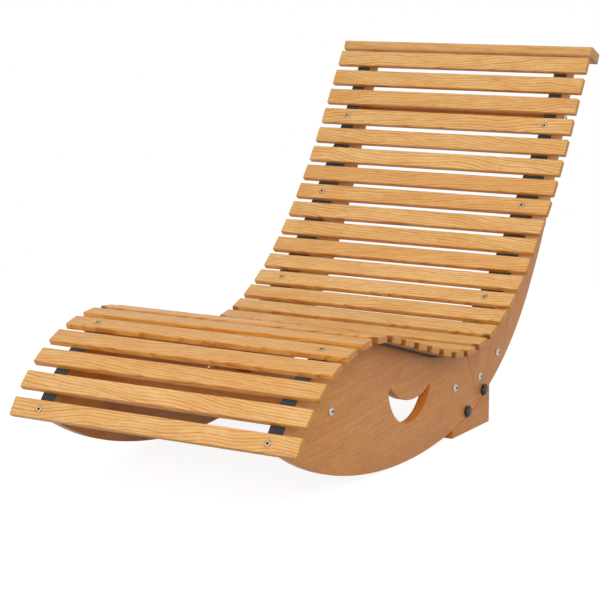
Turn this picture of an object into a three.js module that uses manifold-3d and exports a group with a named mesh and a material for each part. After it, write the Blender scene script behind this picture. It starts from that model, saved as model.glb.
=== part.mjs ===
// Rocking chaise lounge. Thirty slats ride on two webbing straps, and the straps lie on the hollowed top
// edges of two side boards whose round undersides rock on the ground. Each side board is a front panel and
// a rear arm, bolted end to end across a stop plate whose foot ends the backward rock.
// Millimetres. +Y runs from the foot end to the head end, +Z is up, and left and right are as seen from
// the foot end, with +X to the right.

import * as THREE from 'three';
import { mergeVertices } from 'three/addons/utils/BufferGeometryUtils.js';
import Module from 'manifold-3d';

const wasm = await Module();
wasm.setup();

// Fits
const clearance = 0.3;
const seamGap = 0.6;
const facetSag = 0.16;
const cutOverrun = 5;

// Slats, numbered from the head end
const slatCount = 30;
const slatLength = 600;
const slatWidth = 36;
const slatThickness = 12;
const slatEasing = 2;
const slatEndEasing = 1;
const backPitch = 48.6;
const backGapCount = 11;
const bendGapCount = 5;
const lastSlatInset = 17.6;

// Webbing straps, narrow under the first and last slats, with tapers some slats long
const strapThickness = 2.5;
const strapNarrowWidth = 29.5;
const strapWideWidth = 49.5;
const strapCentreInset = 11;
const strapEndTuck = 5.5;
const headNarrowCount = 4;
const headTaperCount = 3;
const footTaperCount = 3;
const footNarrowCount = 3;

// Side boards
const slatOverhang = 50;
const boardThickness = 20;
const boardEdgeRadius = 2;
const noseRadius = 12;
const armTopWidth = 42.3;

// Underside of the side boards, walked from the point that touches the ground towards the head end
const rockerRadius = 1065;
const rockerFrontAngle = 30;
const rockerRearAngle = 10;
const heelRadius = 557;
const heelAngle = 44.5;
const backEdgeRadius = 1292;
const backEdgeAngle = 12.05;
const backEdgeStraight = 246.2;

// Lying surface under the slats, walked from the first slat towards the foot end
const backAngle = 58.56;
const headRun = 25.2;
const shoulderStraight = 159.5;
const upperBackRadius = 1319;
const upperBackAngle = 13.72;
const lowerBackRadius = 567;
const lowerBackAngle = 18.83;
const hipRadius = 300.4;
const hipAngle = 42.6;
const thighStraight = 223.4;
const kneeRadius = 301.5;
const kneeAngle = 80;

// Seam between front panel and rear arm, as runs along the lying surface and the underside
const seamMatRun = 724.7;
const seamRockerRun = 312;

// Hand grip, a crescent between two arcs, hung from the lying surface
const gripMatRun = 938.7;
const gripDepth = 44.6;
const gripLowRadius = 89;
const gripTopRadius = 136;
const gripArcSpacing = 91;
const gripLeanAngle = 9;
const gripTipRadius = 4;

// Rails
const railThickness = 20;
const railEasing = 1.5;
const frontRailHeight = 95;
const backRailHeight = 58;
const capDepth = 50;
const capThickness = 23;
const capOverhang = 10.9;
const capTiltAngle = 24;
const capNoseRadius = 8.5;

// Stop plate and its foot, placed along the underside
const plateThickness = 22;
const plateDepth = 100;
const plateFrontRun = 190;
const plateRearRun = 368.7;
const plateCornerRadius = 14;
const footGap = 0.8;

// Places of the rails and bolts, as a run along the underside and an inset from it. The front rail's run
// goes towards the foot end, the others towards the head end.
const frontRailRun = 335.3;
const frontRailInset = 110.5;
const lowerBackRailRun = 433.1;
const lowerBackRailInset = 33;
const upperBackRailRun = 1011.9;
const plateBoltFrontRun = 215.8;
const plateBoltFrontInset = 81.9;
const plateBoltRearRun = 337.3;
const plateBoltRearInset = 45.4;
const knobBoltFrontRun = 256.5;
const knobBoltFrontInset = 11.5;
const knobBoltRearRun = 339.2;
const knobBoltRearInset = 11.2;

// Bolts
const shankRadius = 3;
const domeRadius = 7.75;
const domeHeight = 4.5;
const domeRim = 0.8;
const railGrip = 42;
const tipChamfer = 1;
const nutAcross = 10;
const nutThickness = 5;
const nutProud = 3;
const knobRadius = 12;
const knobHeight = 9;
const knobShoulder = 5;
const knobChamfer = 2.2;
const knobCrownRadius = 6;
const boltSideCount = 12;
const hexSideCount = 6;

const railPlaces = {
  front_cross_rail: {
    run: -frontRailRun,
    inset: frontRailInset,
    height: frontRailHeight,
    upright: true,
  },
  lower_back_cross_rail: {
    run: lowerBackRailRun,
    inset: lowerBackRailInset,
    height: backRailHeight,
    upright: true,
  },
  upper_back_cross_rail: {
    run: upperBackRailRun,
    inset: railThickness / 2,
    height: backRailHeight,
    upright: false,
  },
};
const plateBoltPlaces = {
  plate_bolt_front: { run: plateBoltFrontRun, inset: plateBoltFrontInset },
  plate_bolt_rear: { run: plateBoltRearRun, inset: plateBoltRearInset },
};
const knobBoltPlaces = {
  knob_bolt_front: { run: knobBoltFrontRun, inset: knobBoltFrontInset },
  knob_bolt_rear: { run: knobBoltRearRun, inset: knobBoltRearInset },
};

// Values that follow from the sizes
const outerFace = slatLength / 2 - slatOverhang;
const innerFace = outerFace - boardThickness;
const strapBed = strapThickness + clearance * 2;
const sides = { left: -1, right: 1 };
const halfTurn = Math.PI;
const radians = THREE.MathUtils.degToRad;

// Line of straight and round stretches that join smoothly, drawn in side view. A run is a distance walked
// along it. Ahead of the start runs are positive, behind it negative, and the end stretches carry on.
class SmoothLine {
  constructor(start, heading, ahead, behind) {
    const back = advance({ point: start, heading }, behind.bend, -behind.length);
    this.stretches = [{ run: -behind.length, ...back, ...behind }];
    let place = { point: start, heading };
    let run = 0;
    for (const stretch of ahead) {
      this.stretches.push({ run, ...place, ...stretch });
      place = advance(place, stretch.bend, stretch.length);
      run += stretch.length;
    }
    this.length = run;
  }

  stretchAt(run) {
    return this.stretches.findLast((stretch) => stretch.run <= run) ?? this.stretches[0];
  }

  at(run) {
    const stretch = this.stretchAt(run);
    return advance(stretch, stretch.bend, run - stretch.run);
  }

  bendAt(run) {
    return this.stretchAt(run).bend;
  }

  // Point at a run, moved to the left of the way walked
  beside(run, offset) {
    const { point, heading } = this.at(run);
    return point.clone().add(toward(heading + halfTurn / 2, offset));
  }

  // Runs at which a faceted copy of the line has its corners
  stations(from, to) {
    const runs = this.stretches.flatMap((stretch) => {
      const turn = Math.abs(stretch.bend * stretch.length);
      const count = turn ? Math.ceil(turn / facetTurn(1 / Math.abs(stretch.bend))) : 1;
      return Array.from({ length: count }, (_, i) => stretch.run + (stretch.length * i) / count);
    });
    const between = runs.filter((run) => run > Math.min(from, to) && run < Math.max(from, to));
    const ordered = from < to ? between : between.reverse();
    return [from, ...ordered, to];
  }
}

function straight(length) {
  return { length, bend: 0 };
}

function round(radius, turn) {
  return { length: radius * Math.abs(radians(turn)), bend: Math.sign(turn) / radius };
}

// Point at a distance in a direction
function toward(angle, distance) {
  return new THREE.Vector2(Math.cos(angle), Math.sin(angle)).multiplyScalar(distance);
}

// Place and heading after a distance along a stretch of constant bend
function advance(place, bend, distance) {
  const heading = place.heading + bend * distance;
  if (bend === 0) {
    return { point: place.point.clone().add(toward(place.heading, distance)), heading };
  }
  const centre = place.point.clone().add(toward(place.heading + halfTurn / 2, 1 / bend));
  return { point: centre.add(toward(heading - halfTurn / 2, 1 / bend)), heading };
}

// Angle between the corners of a faceted arc, from how far its facets may sag
function facetTurn(radius) {
  return 2 * Math.acos(1 - Math.min(facetSag / radius, 1));
}

function arcPoints(centre, radius, from, to) {
  const count = Math.ceil(Math.abs(to - from) / facetTurn(radius));
  return Array.from({ length: count + 1 }, (_, i) => {
    return centre.clone().add(toward(from + ((to - from) * i) / count, radius));
  });
}

// Where two circles cross, on the left of the way from the first centre to the second
function circleCrossing(centreA, radiusA, centreB, radiusB, side) {
  const gap = centreA.distanceTo(centreB);
  const direction = centreB.clone().sub(centreA).angle();
  const share = (radiusA ** 2 - radiusB ** 2 + gap ** 2) / (2 * gap * radiusA);
  return centreA.clone().add(toward(direction + side * Math.acos(share), radiusA));
}

const rockerLine = new SmoothLine(
  new THREE.Vector2(0, 0),
  0,
  [
    round(rockerRadius, rockerRearAngle),
    round(heelRadius, heelAngle),
    round(backEdgeRadius, backEdgeAngle),
    straight(backEdgeStraight),
  ],
  round(rockerRadius, rockerFrontAngle),
);

// The arms end square to the cap rail, and the lying surface starts from the front corner of that end
const armTopRear = rockerLine.at(rockerLine.length).point;
const armTopFront = armTopRear.clone().add(toward(halfTurn - radians(capTiltAngle), armTopWidth));
const matHeading = halfTurn + radians(backAngle);
const matStart = armTopFront
  .clone()
  .add(toward(matHeading - halfTurn / 2, strapBed))
  .add(toward(matHeading, headRun));
const matLine = new SmoothLine(
  matStart,
  matHeading,
  [
    straight(shoulderStraight),
    round(upperBackRadius, -upperBackAngle),
    round(lowerBackRadius, -lowerBackAngle),
    round(hipRadius, -hipAngle),
    straight(thighStraight),
    round(kneeRadius, kneeAngle),
  ],
  straight(headRun),
);

// Top edge of the side boards, which the straps lie on
function boardTop(run) {
  return matLine.beside(run, strapBed);
}

// Run along the lying surface at which the top edge of the board meets its round underside
function findNose() {
  const centre = new THREE.Vector2(0, rockerRadius);
  const knee = matLine.stretches.at(-1);
  let inside = knee.run;
  let outside = knee.run + knee.length;
  const halvings = 40;
  for (let i = 0; i < halvings; i += 1) {
    const middle = (inside + outside) / 2;
    if (boardTop(middle).distanceTo(centre) < rockerRadius) {
      inside = middle;
    } else {
      outside = middle;
    }
  }
  const corner = boardTop(inside);
  const rockerRun = -rockerRadius * Math.asin(-corner.x / rockerRadius);
  return { corner, matRun: inside, rockerRun };
}

const nose = findNose();

// Slats keep one pitch up the back and a wider one along the seat, and widen evenly through the bend.
// The seat pitch is what brings the last slat to the nose.
function slatRuns() {
  const lastRun = nose.matRun - lastSlatInset;
  const seatGapCount = slatCount - 1 - backGapCount - bendGapCount;
  const bendShare = bendGapCount / 2;
  const backRun = backPitch * (backGapCount + bendShare);
  const seatPitch = (lastRun - backRun) / (seatGapCount + bendShare);
  const runs = [0];
  for (let gap = 1; gap < slatCount; gap += 1) {
    const share = THREE.MathUtils.clamp((gap - backGapCount) / (bendGapCount + 1), 0, 1);
    runs.push(runs.at(-1) + THREE.MathUtils.lerp(backPitch, seatPitch, share));
  }
  return runs;
}

const slatPlaces = slatRuns();

// Solids and plain geometry
function toSolid(geometry) {
  const bare = geometry.clone();
  bare.deleteAttribute('normal');
  bare.deleteAttribute('uv');
  const merged = mergeVertices(bare);
  const vertProperties = new Float32Array(merged.attributes.position.array);
  const triVerts = new Uint32Array(merged.index.array);
  return new wasm.Manifold(new wasm.Mesh({ numProp: 3, vertProperties, triVerts }));
}

function toGeometry(solid) {
  const mesh = solid.getMesh();
  const geometry = new THREE.BufferGeometry();
  geometry.setAttribute('position', new THREE.BufferAttribute(mesh.vertProperties, 3));
  geometry.setIndex(new THREE.BufferAttribute(mesh.triVerts, 1));
  return geometry;
}

// Outline pulled across the lounge between two places, with rounded long edges where easing is given
function slab(outline, from, to, easing = 0, holes = []) {
  const shape = new THREE.Shape(outline);
  shape.holes = holes.map((hole) => new THREE.Path(hole));
  const eased = easing > 0;
  const geometry = new THREE.ExtrudeGeometry(shape, {
    depth: to - from - easing * 2,
    bevelEnabled: eased,
    bevelThickness: easing,
    bevelSize: easing,
    bevelOffset: -easing,
    bevelSegments: 2,
  });
  return geometry.translate(0, 0, from + easing);
}

// Rectangle standing on the middle of its lower side, with its own radius on the corners of each side
function boardSection(width, height, leftRadius, rightRadius) {
  const quarter = halfTurn / 2;
  const left = leftRadius - width / 2;
  const right = width / 2 - rightRadius;
  const corners = [
    { x: right, y: height - rightRadius, radius: rightRadius, from: 0 },
    { x: left, y: height - leftRadius, radius: leftRadius, from: quarter },
    { x: left, y: leftRadius, radius: leftRadius, from: quarter * 2 },
    { x: right, y: rightRadius, radius: rightRadius, from: quarter * 3 },
  ];
  return corners.flatMap(({ x, y, radius, from }) => {
    return arcPoints(new THREE.Vector2(x, y), radius, from, from + quarter);
  });
}

function drill(solid, place, radius, from, to) {
  const bit = new THREE.CylinderGeometry(radius, radius, to - from, boltSideCount);
  bit.rotateX(halfTurn / 2);
  bit.translate(place.x, place.y, (from + to) / 2);
  return solid.subtract(toSolid(bit));
}

function boltPoint({ run, inset }) {
  return rockerLine.beside(run, inset);
}

// Side boards
function sideOutline() {
  const topRuns = matLine.stations(-headRun, nose.matRun - noseRadius);
  const lowRuns = rockerLine.stations(nose.rockerRun + noseRadius, rockerLine.length);
  const top = topRuns.map(boardTop);
  const low = lowRuns.map((run) => rockerLine.at(run).point);
  const noseSteps = 5;
  const tip = new THREE.QuadraticBezierCurve(top.at(-1), nose.corner, low[0]).getPoints(noseSteps);
  return [...top, ...tip.slice(1, -1), ...low];
}

// Crescent between a lower arc and a flatter upper one, with round tips that run into both
function gripOutline() {
  const lowCentre = matLine.beside(gripMatRun, strapBed + gripDepth);
  const topCentre = lowCentre.clone().add(toward(halfTurn / 2 - radians(gripLeanAngle), gripArcSpacing));
  const tips = [1, -1].map((side) => {
    const low = gripLowRadius - gripTipRadius;
    const top = gripTopRadius + gripTipRadius;
    return circleCrossing(lowCentre, low, topCentre, top, side);
  });
  const [leftLow, rightLow] = tips.map((tip) => tip.clone().sub(lowCentre).angle());
  const [leftTop, rightTop] = tips.map((tip) => tip.clone().sub(topCentre).angle());
  return [
    ...arcPoints(lowCentre, gripLowRadius, leftLow, rightLow),
    ...arcPoints(tips[1], gripTipRadius, rightLow, rightTop - halfTurn).slice(1, -1),
    ...arcPoints(topCentre, gripTopRadius, rightTop, leftTop),
    ...arcPoints(tips[0], gripTipRadius, leftTop - halfTurn, leftLow).slice(1, -1),
  ];
}

function boltHolePlaces() {
  const places = [railPlaces, plateBoltPlaces, knobBoltPlaces].flatMap(Object.values);
  return places.map(boltPoint);
}

// Whole side board of one side, before the seam parts it
function sideBoard(side) {
  const from = Math.min(side * innerFace, side * outerFace);
  const to = from + boardThickness;
  const board = toSolid(slab(sideOutline(), from, to, boardEdgeRadius, [gripOutline()]));
  return boltHolePlaces().reduce((solid, place) => {
    return drill(solid, place, shankRadius + clearance, from - cutOverrun, to + cutOverrun);
  }, board);
}

// The part of a side board on one side of the seam, kept by a block whose edge lies along the seam
function boardPart(side, towardHead) {
  const top = boardTop(seamMatRun);
  const foot = rockerLine.at(seamRockerRun).point;
  const along = foot.clone().sub(top).angle();
  const away = along + (towardHead ? halfTurn / 2 : -halfTurn / 2);
  const reach = rockerLine.length + matLine.length;
  const start = top.clone().add(toward(away, seamGap / 2)).add(toward(along, -reach));
  const corners = [start];
  corners.push(corners[0].clone().add(toward(along, reach * 2)));
  corners.push(corners[1].clone().add(toward(away, reach)));
  corners.push(corners[2].clone().add(toward(along, -reach * 2)));
  const block = slab(corners, -slatLength, slatLength);
  return toGeometry(sideBoard(side).intersect(toSolid(block)));
}

// Stop plate with its foot. The plate lies on the inner faces of panel and arm, and the foot steps out
// under them, flush with their outer faces.
function footOutline() {
  const runs = rockerLine.stations(plateFrontRun, plateRearRun);
  const top = runs.map((run) => rockerLine.beside(run, -footGap));
  return [...top, new THREE.Vector2(top.at(-1).x, 0), new THREE.Vector2(top[0].x, 0)];
}

function roundedCorner(before, corner, after, radius) {
  const entry = corner.clone().add(toward(before.clone().sub(corner).angle(), radius));
  const exit = corner.clone().add(toward(after.clone().sub(corner).angle(), radius));
  const steps = 4;
  return new THREE.QuadraticBezierCurve(entry, corner, exit).getPoints(steps);
}

function plateOutline() {
  const front = rockerLine.beside(plateFrontRun, -footGap);
  const rear = rockerLine.beside(plateRearRun, -footGap);
  const topFront = rockerLine.beside(plateFrontRun, plateDepth);
  const topRear = rockerLine.beside(plateRearRun, plateDepth);
  return [
    new THREE.Vector2(front.x, 0),
    new THREE.Vector2(rear.x, 0),
    rear,
    ...roundedCorner(rear, topRear, topFront, plateCornerRadius),
    ...roundedCorner(topRear, topFront, front, plateCornerRadius),
    front,
  ];
}

function stopPlate(side) {
  const plateOuter = innerFace - clearance;
  const plateInner = plateOuter - plateThickness;
  const across = (near, far) => [side * near, side * far].sort((a, b) => a - b);
  const plate = toSolid(slab(plateOutline(), ...across(plateInner, plateOuter)));
  const foot = toSolid(slab(footOutline(), ...across(plateInner, outerFace)));
  const places = [plateBoltPlaces, knobBoltPlaces].flatMap(Object.values).map(boltPoint);
  const [from, to] = across(plateInner - cutOverrun, plateOuter + clearance / 2);
  const drilled = places.reduce((solid, place) => {
    return drill(solid, place, shankRadius + clearance, from, to);
  }, plate.add(foot));
  return toGeometry(drilled);
}

// Rails
function crossRail({ height }) {
  const half = innerFace - clearance;
  const section = boardSection(railThickness, height, railEasing, railEasing);
  const rail = toSolid(slab(section, -half, half).translate(0, -height / 2, 0));
  const depth = railGrip - boardThickness + clearance * 2;
  const centre = new THREE.Vector2(0, 0);
  const right = drill(rail, centre, shankRadius + clearance, half - depth, half + cutOverrun);
  return toGeometry(drill(right, centre, shankRadius + clearance, -half - cutOverrun, depth - half));
}

function capRail() {
  const section = boardSection(capDepth, capThickness, capNoseRadius, railEasing);
  const rail = slab(section, -slatLength / 2, slatLength / 2, slatEndEasing);
  return rail.translate(capDepth / 2 - capOverhang, clearance, 0);
}

// Mat
function slatGeometry() {
  const section = boardSection(slatWidth, slatThickness, slatEasing, slatEasing);
  return slab(section, -slatLength / 2, slatLength / 2, slatEndEasing);
}

// Height of a flat slat's middle over a hollow bed that its two long edges rest on
function slatRise(run) {
  const hollows = [run - slatWidth / 2, run + slatWidth / 2].map((edge) => -matLine.bendAt(edge));
  return (Math.max(...hollows, 0) * slatWidth ** 2) / 8;
}

function strapWidth(run) {
  const narrowHead = slatPlaces.at(headNarrowCount - 1);
  const wideHead = slatPlaces.at(headNarrowCount + headTaperCount - 1);
  const wideFoot = slatPlaces.at(-footNarrowCount - footTaperCount);
  const narrowFoot = slatPlaces.at(-footNarrowCount);
  const head = THREE.MathUtils.smoothstep(run, narrowHead, wideHead);
  const foot = THREE.MathUtils.smoothstep(run, wideFoot, narrowFoot);
  return THREE.MathUtils.lerp(strapNarrowWidth, strapWideWidth, head * (1 - foot));
}

// Strap lofted along the lying surface through one rectangle at each corner of the faceted line
function strapGeometry(side) {
  const inset = slatWidth / 2 - strapEndTuck;
  const runs = matLine.stations(-inset, slatPlaces.at(-1) + inset);
  const centre = side * (outerFace - strapCentreInset);
  const positions = runs.flatMap((run) => {
    const low = matLine.beside(run, strapThickness + clearance);
    const high = matLine.beside(run, clearance);
    const half = strapWidth(run) / 2;
    return [
      [low.x, low.y, centre - half],
      [low.x, low.y, centre + half],
      [high.x, high.y, centre + half],
      [high.x, high.y, centre - half],
    ].flat();
  });
  const ring = 4;
  const last = (runs.length - 1) * ring;
  const faces = [0, 2, 1, 0, 3, 2, last, last + 1, last + 2, last, last + 2, last + 3];
  for (let first = 0; first < last; first += ring) {
    for (let corner = 0; corner < ring; corner += 1) {
      const a = first + corner;
      const b = first + ((corner + 1) % ring);
      faces.push(a, b, b + ring, a, b + ring, a + ring);
    }
  }
  const geometry = new THREE.BufferGeometry();
  geometry.setAttribute('position', new THREE.Float32BufferAttribute(positions, 3));
  geometry.setIndex(faces);
  return geometry;
}

// Bolts, turned about the line across the lounge. The face of the board is at height zero and the head
// stands above it.
function turned(profile, segments) {
  const points = profile.map(([radius, height]) => new THREE.Vector2(radius, height));
  return new THREE.LatheGeometry(points, segments).rotateX(halfTurn / 2);
}

function domedHead() {
  const height = domeHeight - domeRim;
  const crown = (domeRadius ** 2 + height ** 2) / (2 * height);
  const rise = Math.asin(domeRadius / crown);
  const centre = new THREE.Vector2(0, domeRim + height - crown + clearance);
  const arc = arcPoints(centre, crown, halfTurn / 2 - rise, halfTurn / 2);
  return arc.slice(0, -1).map((point) => [point.x, point.y]);
}

function boltProfile(length) {
  const top = domeHeight + clearance;
  return [
    [0, -length],
    [shankRadius - tipChamfer, -length],
    [shankRadius, tipChamfer - length],
    [shankRadius, clearance],
    [domeRadius, clearance],
    ...domedHead(),
    [0, top],
  ];
}

// Hexagonal nut against the inner face of the stop plate
function nutOn(bolt) {
  const face = boardThickness + clearance * 2 + plateThickness;
  const nut = new THREE.CylinderGeometry(
    nutAcross / Math.sqrt(3),
    nutAcross / Math.sqrt(3),
    nutThickness,
    hexSideCount,
  );
  nut.rotateX(halfTurn / 2).translate(0, 0, -face - nutThickness / 2);
  return bolt.add(toSolid(nut));
}

function platedLength() {
  return boardThickness + clearance * 2 + plateThickness + nutThickness + nutProud;
}

function railBolt() {
  return turned(boltProfile(railGrip), boltSideCount);
}

function plateBolt() {
  return toGeometry(nutOn(toSolid(turned(boltProfile(platedLength()), boltSideCount))));
}

function knobBolt() {
  const length = platedLength();
  const shank = turned(
    [
      [0, -length],
      [shankRadius - tipChamfer, -length],
      [shankRadius, tipChamfer - length],
      [shankRadius, knobHeight / 2],
      [0, knobHeight / 2],
    ],
    boltSideCount,
  );
  const knob = turned(
    [
      [0, clearance],
      [knobRadius, clearance],
      [knobRadius, knobShoulder],
      [knobRadius - knobChamfer, knobHeight - knobChamfer / 2],
      [knobCrownRadius, knobHeight + clearance],
      [0, knobHeight + clearance],
    ],
    hexSideCount,
  );
  return toGeometry(nutOn(toSolid(shank).add(toSolid(knob))));
}

// Finishes
function wood(color) {
  return new THREE.MeshStandardMaterial({ color, roughness: 0.55, metalness: 0 });
}

function webbing() {
  return new THREE.MeshStandardMaterial({ color: 0x383736, roughness: 0.9, metalness: 0 });
}

function zinc() {
  return new THREE.MeshStandardMaterial({ color: 0xb4b6b8, roughness: 0.35, metalness: 1 });
}

function blackCap() {
  return new THREE.MeshStandardMaterial({ color: 0x232324, roughness: 0.45, metalness: 0 });
}

const slatColor = 0xd79c55;
const boardColor = 0xbd8350;

// Assembly. In side view a point's first number runs to the head, its second up and its third to the
// right, and one turn of the group brings these to +Y, +Z and +X.
const sideView = new THREE.Group();
sideView.quaternion.setFromAxisAngle(new THREE.Vector3(1, 1, 1).normalize(), (halfTurn * 2) / 3);

function place(name, geometry, material, point = new THREE.Vector2(), across = 0) {
  const mesh = new THREE.Mesh(geometry, material);
  mesh.name = name;
  mesh.position.set(point.x, point.y, across);
  sideView.add(mesh);
  return mesh;
}

const slat = slatGeometry();
slatPlaces.forEach((run, i) => {
  const name = `slat_${String(i + 1).padStart(2, '0')}`;
  const mesh = place(name, slat, wood(slatColor), matLine.beside(run, -slatRise(run)));
  mesh.rotation.z = matLine.at(run).heading - halfTurn;
});

place('top_rail', capRail(), wood(slatColor), armTopFront).rotation.z = -radians(capTiltAngle);

for (const [name, rail] of Object.entries(railPlaces)) {
  const mesh = place(name, crossRail(rail), wood(boardColor), boltPoint(rail));
  mesh.rotation.z = rail.upright ? 0 : rockerLine.at(rail.run).heading - halfTurn / 2;
}

for (const [sideName, side] of Object.entries(sides)) {
  place(`front_panel_${sideName}`, boardPart(side, false), wood(boardColor));
  place(`rear_arm_${sideName}`, boardPart(side, true), wood(boardColor));
  place(`stop_plate_${sideName}`, stopPlate(side), wood(boardColor));
  place(`webbing_strap_${sideName}`, strapGeometry(side), webbing());
  const bolts = [
    ...Object.entries(railPlaces).map(([name, at]) => [`${name}_bolt`, railBolt(), zinc(), at]),
    ...Object.entries(plateBoltPlaces).map(([name, at]) => [name, plateBolt(), zinc(), at]),
    ...Object.entries(knobBoltPlaces).map(([name, at]) => [name, knobBolt(), blackCap(), at]),
  ];
  for (const [name, geometry, material, at] of bolts) {
    const mesh = place(`${name}_${sideName}`, geometry, material, boltPoint(at), side * outerFace);
    mesh.rotation.y = side > 0 ? 0 : halfTurn;
  }
}

// The origin is under the middle of the lounge, on the ground
const lounge = new THREE.Group();
lounge.add(sideView);
lounge.updateMatrixWorld(true);
const extent = new THREE.Box3().setFromObject(lounge, true);
sideView.position.y = -(extent.min.y + extent.max.y) / 2;

export default lounge;
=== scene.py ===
"""Rocking chaise lounge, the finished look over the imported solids.

Sizes in the classes are millimetres and the meshes are metres. Side view means a point's run towards the head
and its height. The third number of a point is its place across the lounge, to the right as seen from the foot.
"""

import logging
from dataclasses import dataclass, field
from enum import Enum
from typing import Sequence

import bmesh
import bpy
import numpy as np
from mathutils import Matrix


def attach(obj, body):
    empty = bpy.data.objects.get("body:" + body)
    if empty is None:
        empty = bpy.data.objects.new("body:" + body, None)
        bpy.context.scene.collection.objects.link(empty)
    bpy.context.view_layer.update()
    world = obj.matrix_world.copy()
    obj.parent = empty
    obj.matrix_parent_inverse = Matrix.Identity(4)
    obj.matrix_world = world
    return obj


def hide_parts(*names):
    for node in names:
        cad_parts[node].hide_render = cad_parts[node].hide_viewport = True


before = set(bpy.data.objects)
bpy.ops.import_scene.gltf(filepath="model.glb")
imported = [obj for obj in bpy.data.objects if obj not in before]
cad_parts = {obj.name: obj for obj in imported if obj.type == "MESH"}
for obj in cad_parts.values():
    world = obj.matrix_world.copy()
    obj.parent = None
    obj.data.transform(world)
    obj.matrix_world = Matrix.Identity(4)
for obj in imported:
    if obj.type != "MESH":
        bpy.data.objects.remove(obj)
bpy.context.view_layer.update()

log = logging.getLogger("lounge")

Array = np.ndarray
Pair = tuple[float, float]
Range = tuple[float, ...]
Colour = tuple[int, int, int]
Triple = tuple[float, float, float]

METRE = 1000.0
TURN = 2 * np.pi
BODY = "root"
ORIGIN_RUN = -140.218
SHARP_ANGLE = np.radians(38)
MOST_SMOOTH_CORNERS = 4
ACROSS_LOUNGE = np.array([1.0, 0.0, 0.0])


# Shapes


class Side(Enum):
    """The two side boards' sides, as signs across the lounge."""

    LEFT = -1
    RIGHT = 1

    @property
    def word(self) -> str:
        """The side's name as the frame's nodes carry it."""
        return self.name.lower()


def unit(angle: Array | float) -> Array:
    """Point or points on the unit circle at an angle: cosine, sine."""
    return np.stack([np.cos(angle), np.sin(angle)], -1)


def to_world(side_view: Array, across: Array | float) -> Array:
    """Metres in the frame from millimetres in side view.

    Formula: x is across, y is the run moved by the origin's run, z is the height, all over a thousand.

    Args:
        side_view: points in side view, last axis run and height.
        across: places across the lounge, one number or one for each point.

    Returns:
        The points in the frame, in metres.
    """
    run, height = side_view[..., 0], side_view[..., 1]
    return np.stack([np.broadcast_to(across, run.shape), run + ORIGIN_RUN, height], -1) / METRE


def mitred_normals(outline: Array) -> Array:
    """Outward corner directions of a closed outline that runs anticlockwise.

    Formula: the sum of the two edge normals at a corner over one plus their dot product, so that a step of one
    along it moves both edges out by one.

    Args:
        outline: corners of the outline, one row each.

    Returns:
        One direction for each corner.
    """
    edge = np.roll(outline, -1, 0) - outline
    normal = np.stack([edge[:, 1], -edge[:, 0]], -1) / np.linalg.norm(edge, axis=1)[:, None]
    before = np.roll(normal, 1, 0)
    return (normal + before) / (1 + (normal * before).sum(1))[:, None]


def anticlockwise(outline: Array) -> Array:
    """Puts an outline in anticlockwise order.

    Formula: the shoelace sum, which is positive for that order.

    Args:
        outline: corners of a closed outline.

    Returns:
        The same corners in that order.
    """
    after = np.roll(outline, -1, 0)
    area = (outline[:, 0] * after[:, 1] - after[:, 0] * outline[:, 1]).sum()
    return outline if area > 0 else outline[::-1]


def arris_steps(radius: float, steps: int) -> tuple[Array, Array]:
    """Quarter circle that eases an edge.

    Formula: at angle phi from 0 to 90 degrees the edge is in by radius times one minus sine phi, and down by
    radius times one minus cosine phi.

    Args:
        radius: radius of the eased edge.
        steps: number of facets.

    Returns:
        The shares by which each ring lies inside the outline, and the depths of the rings.
    """
    phi = np.linspace(0, np.pi / 2, steps + 1)
    return 1 - np.sin(phi), radius * (1 - np.cos(phi))


@dataclass(frozen=True)
class Stretch:
    """One stretch of a smooth line: its length, and its bend as one over the radius, positive to the left."""

    length: float
    bend: float = 0.0

    @classmethod
    def round(cls, radius: float, angle: float) -> "Stretch":
        """Arc of a radius through an angle in degrees, positive to the left."""
        return cls(radius * abs(np.radians(angle)), np.sign(angle) / radius)


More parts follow.
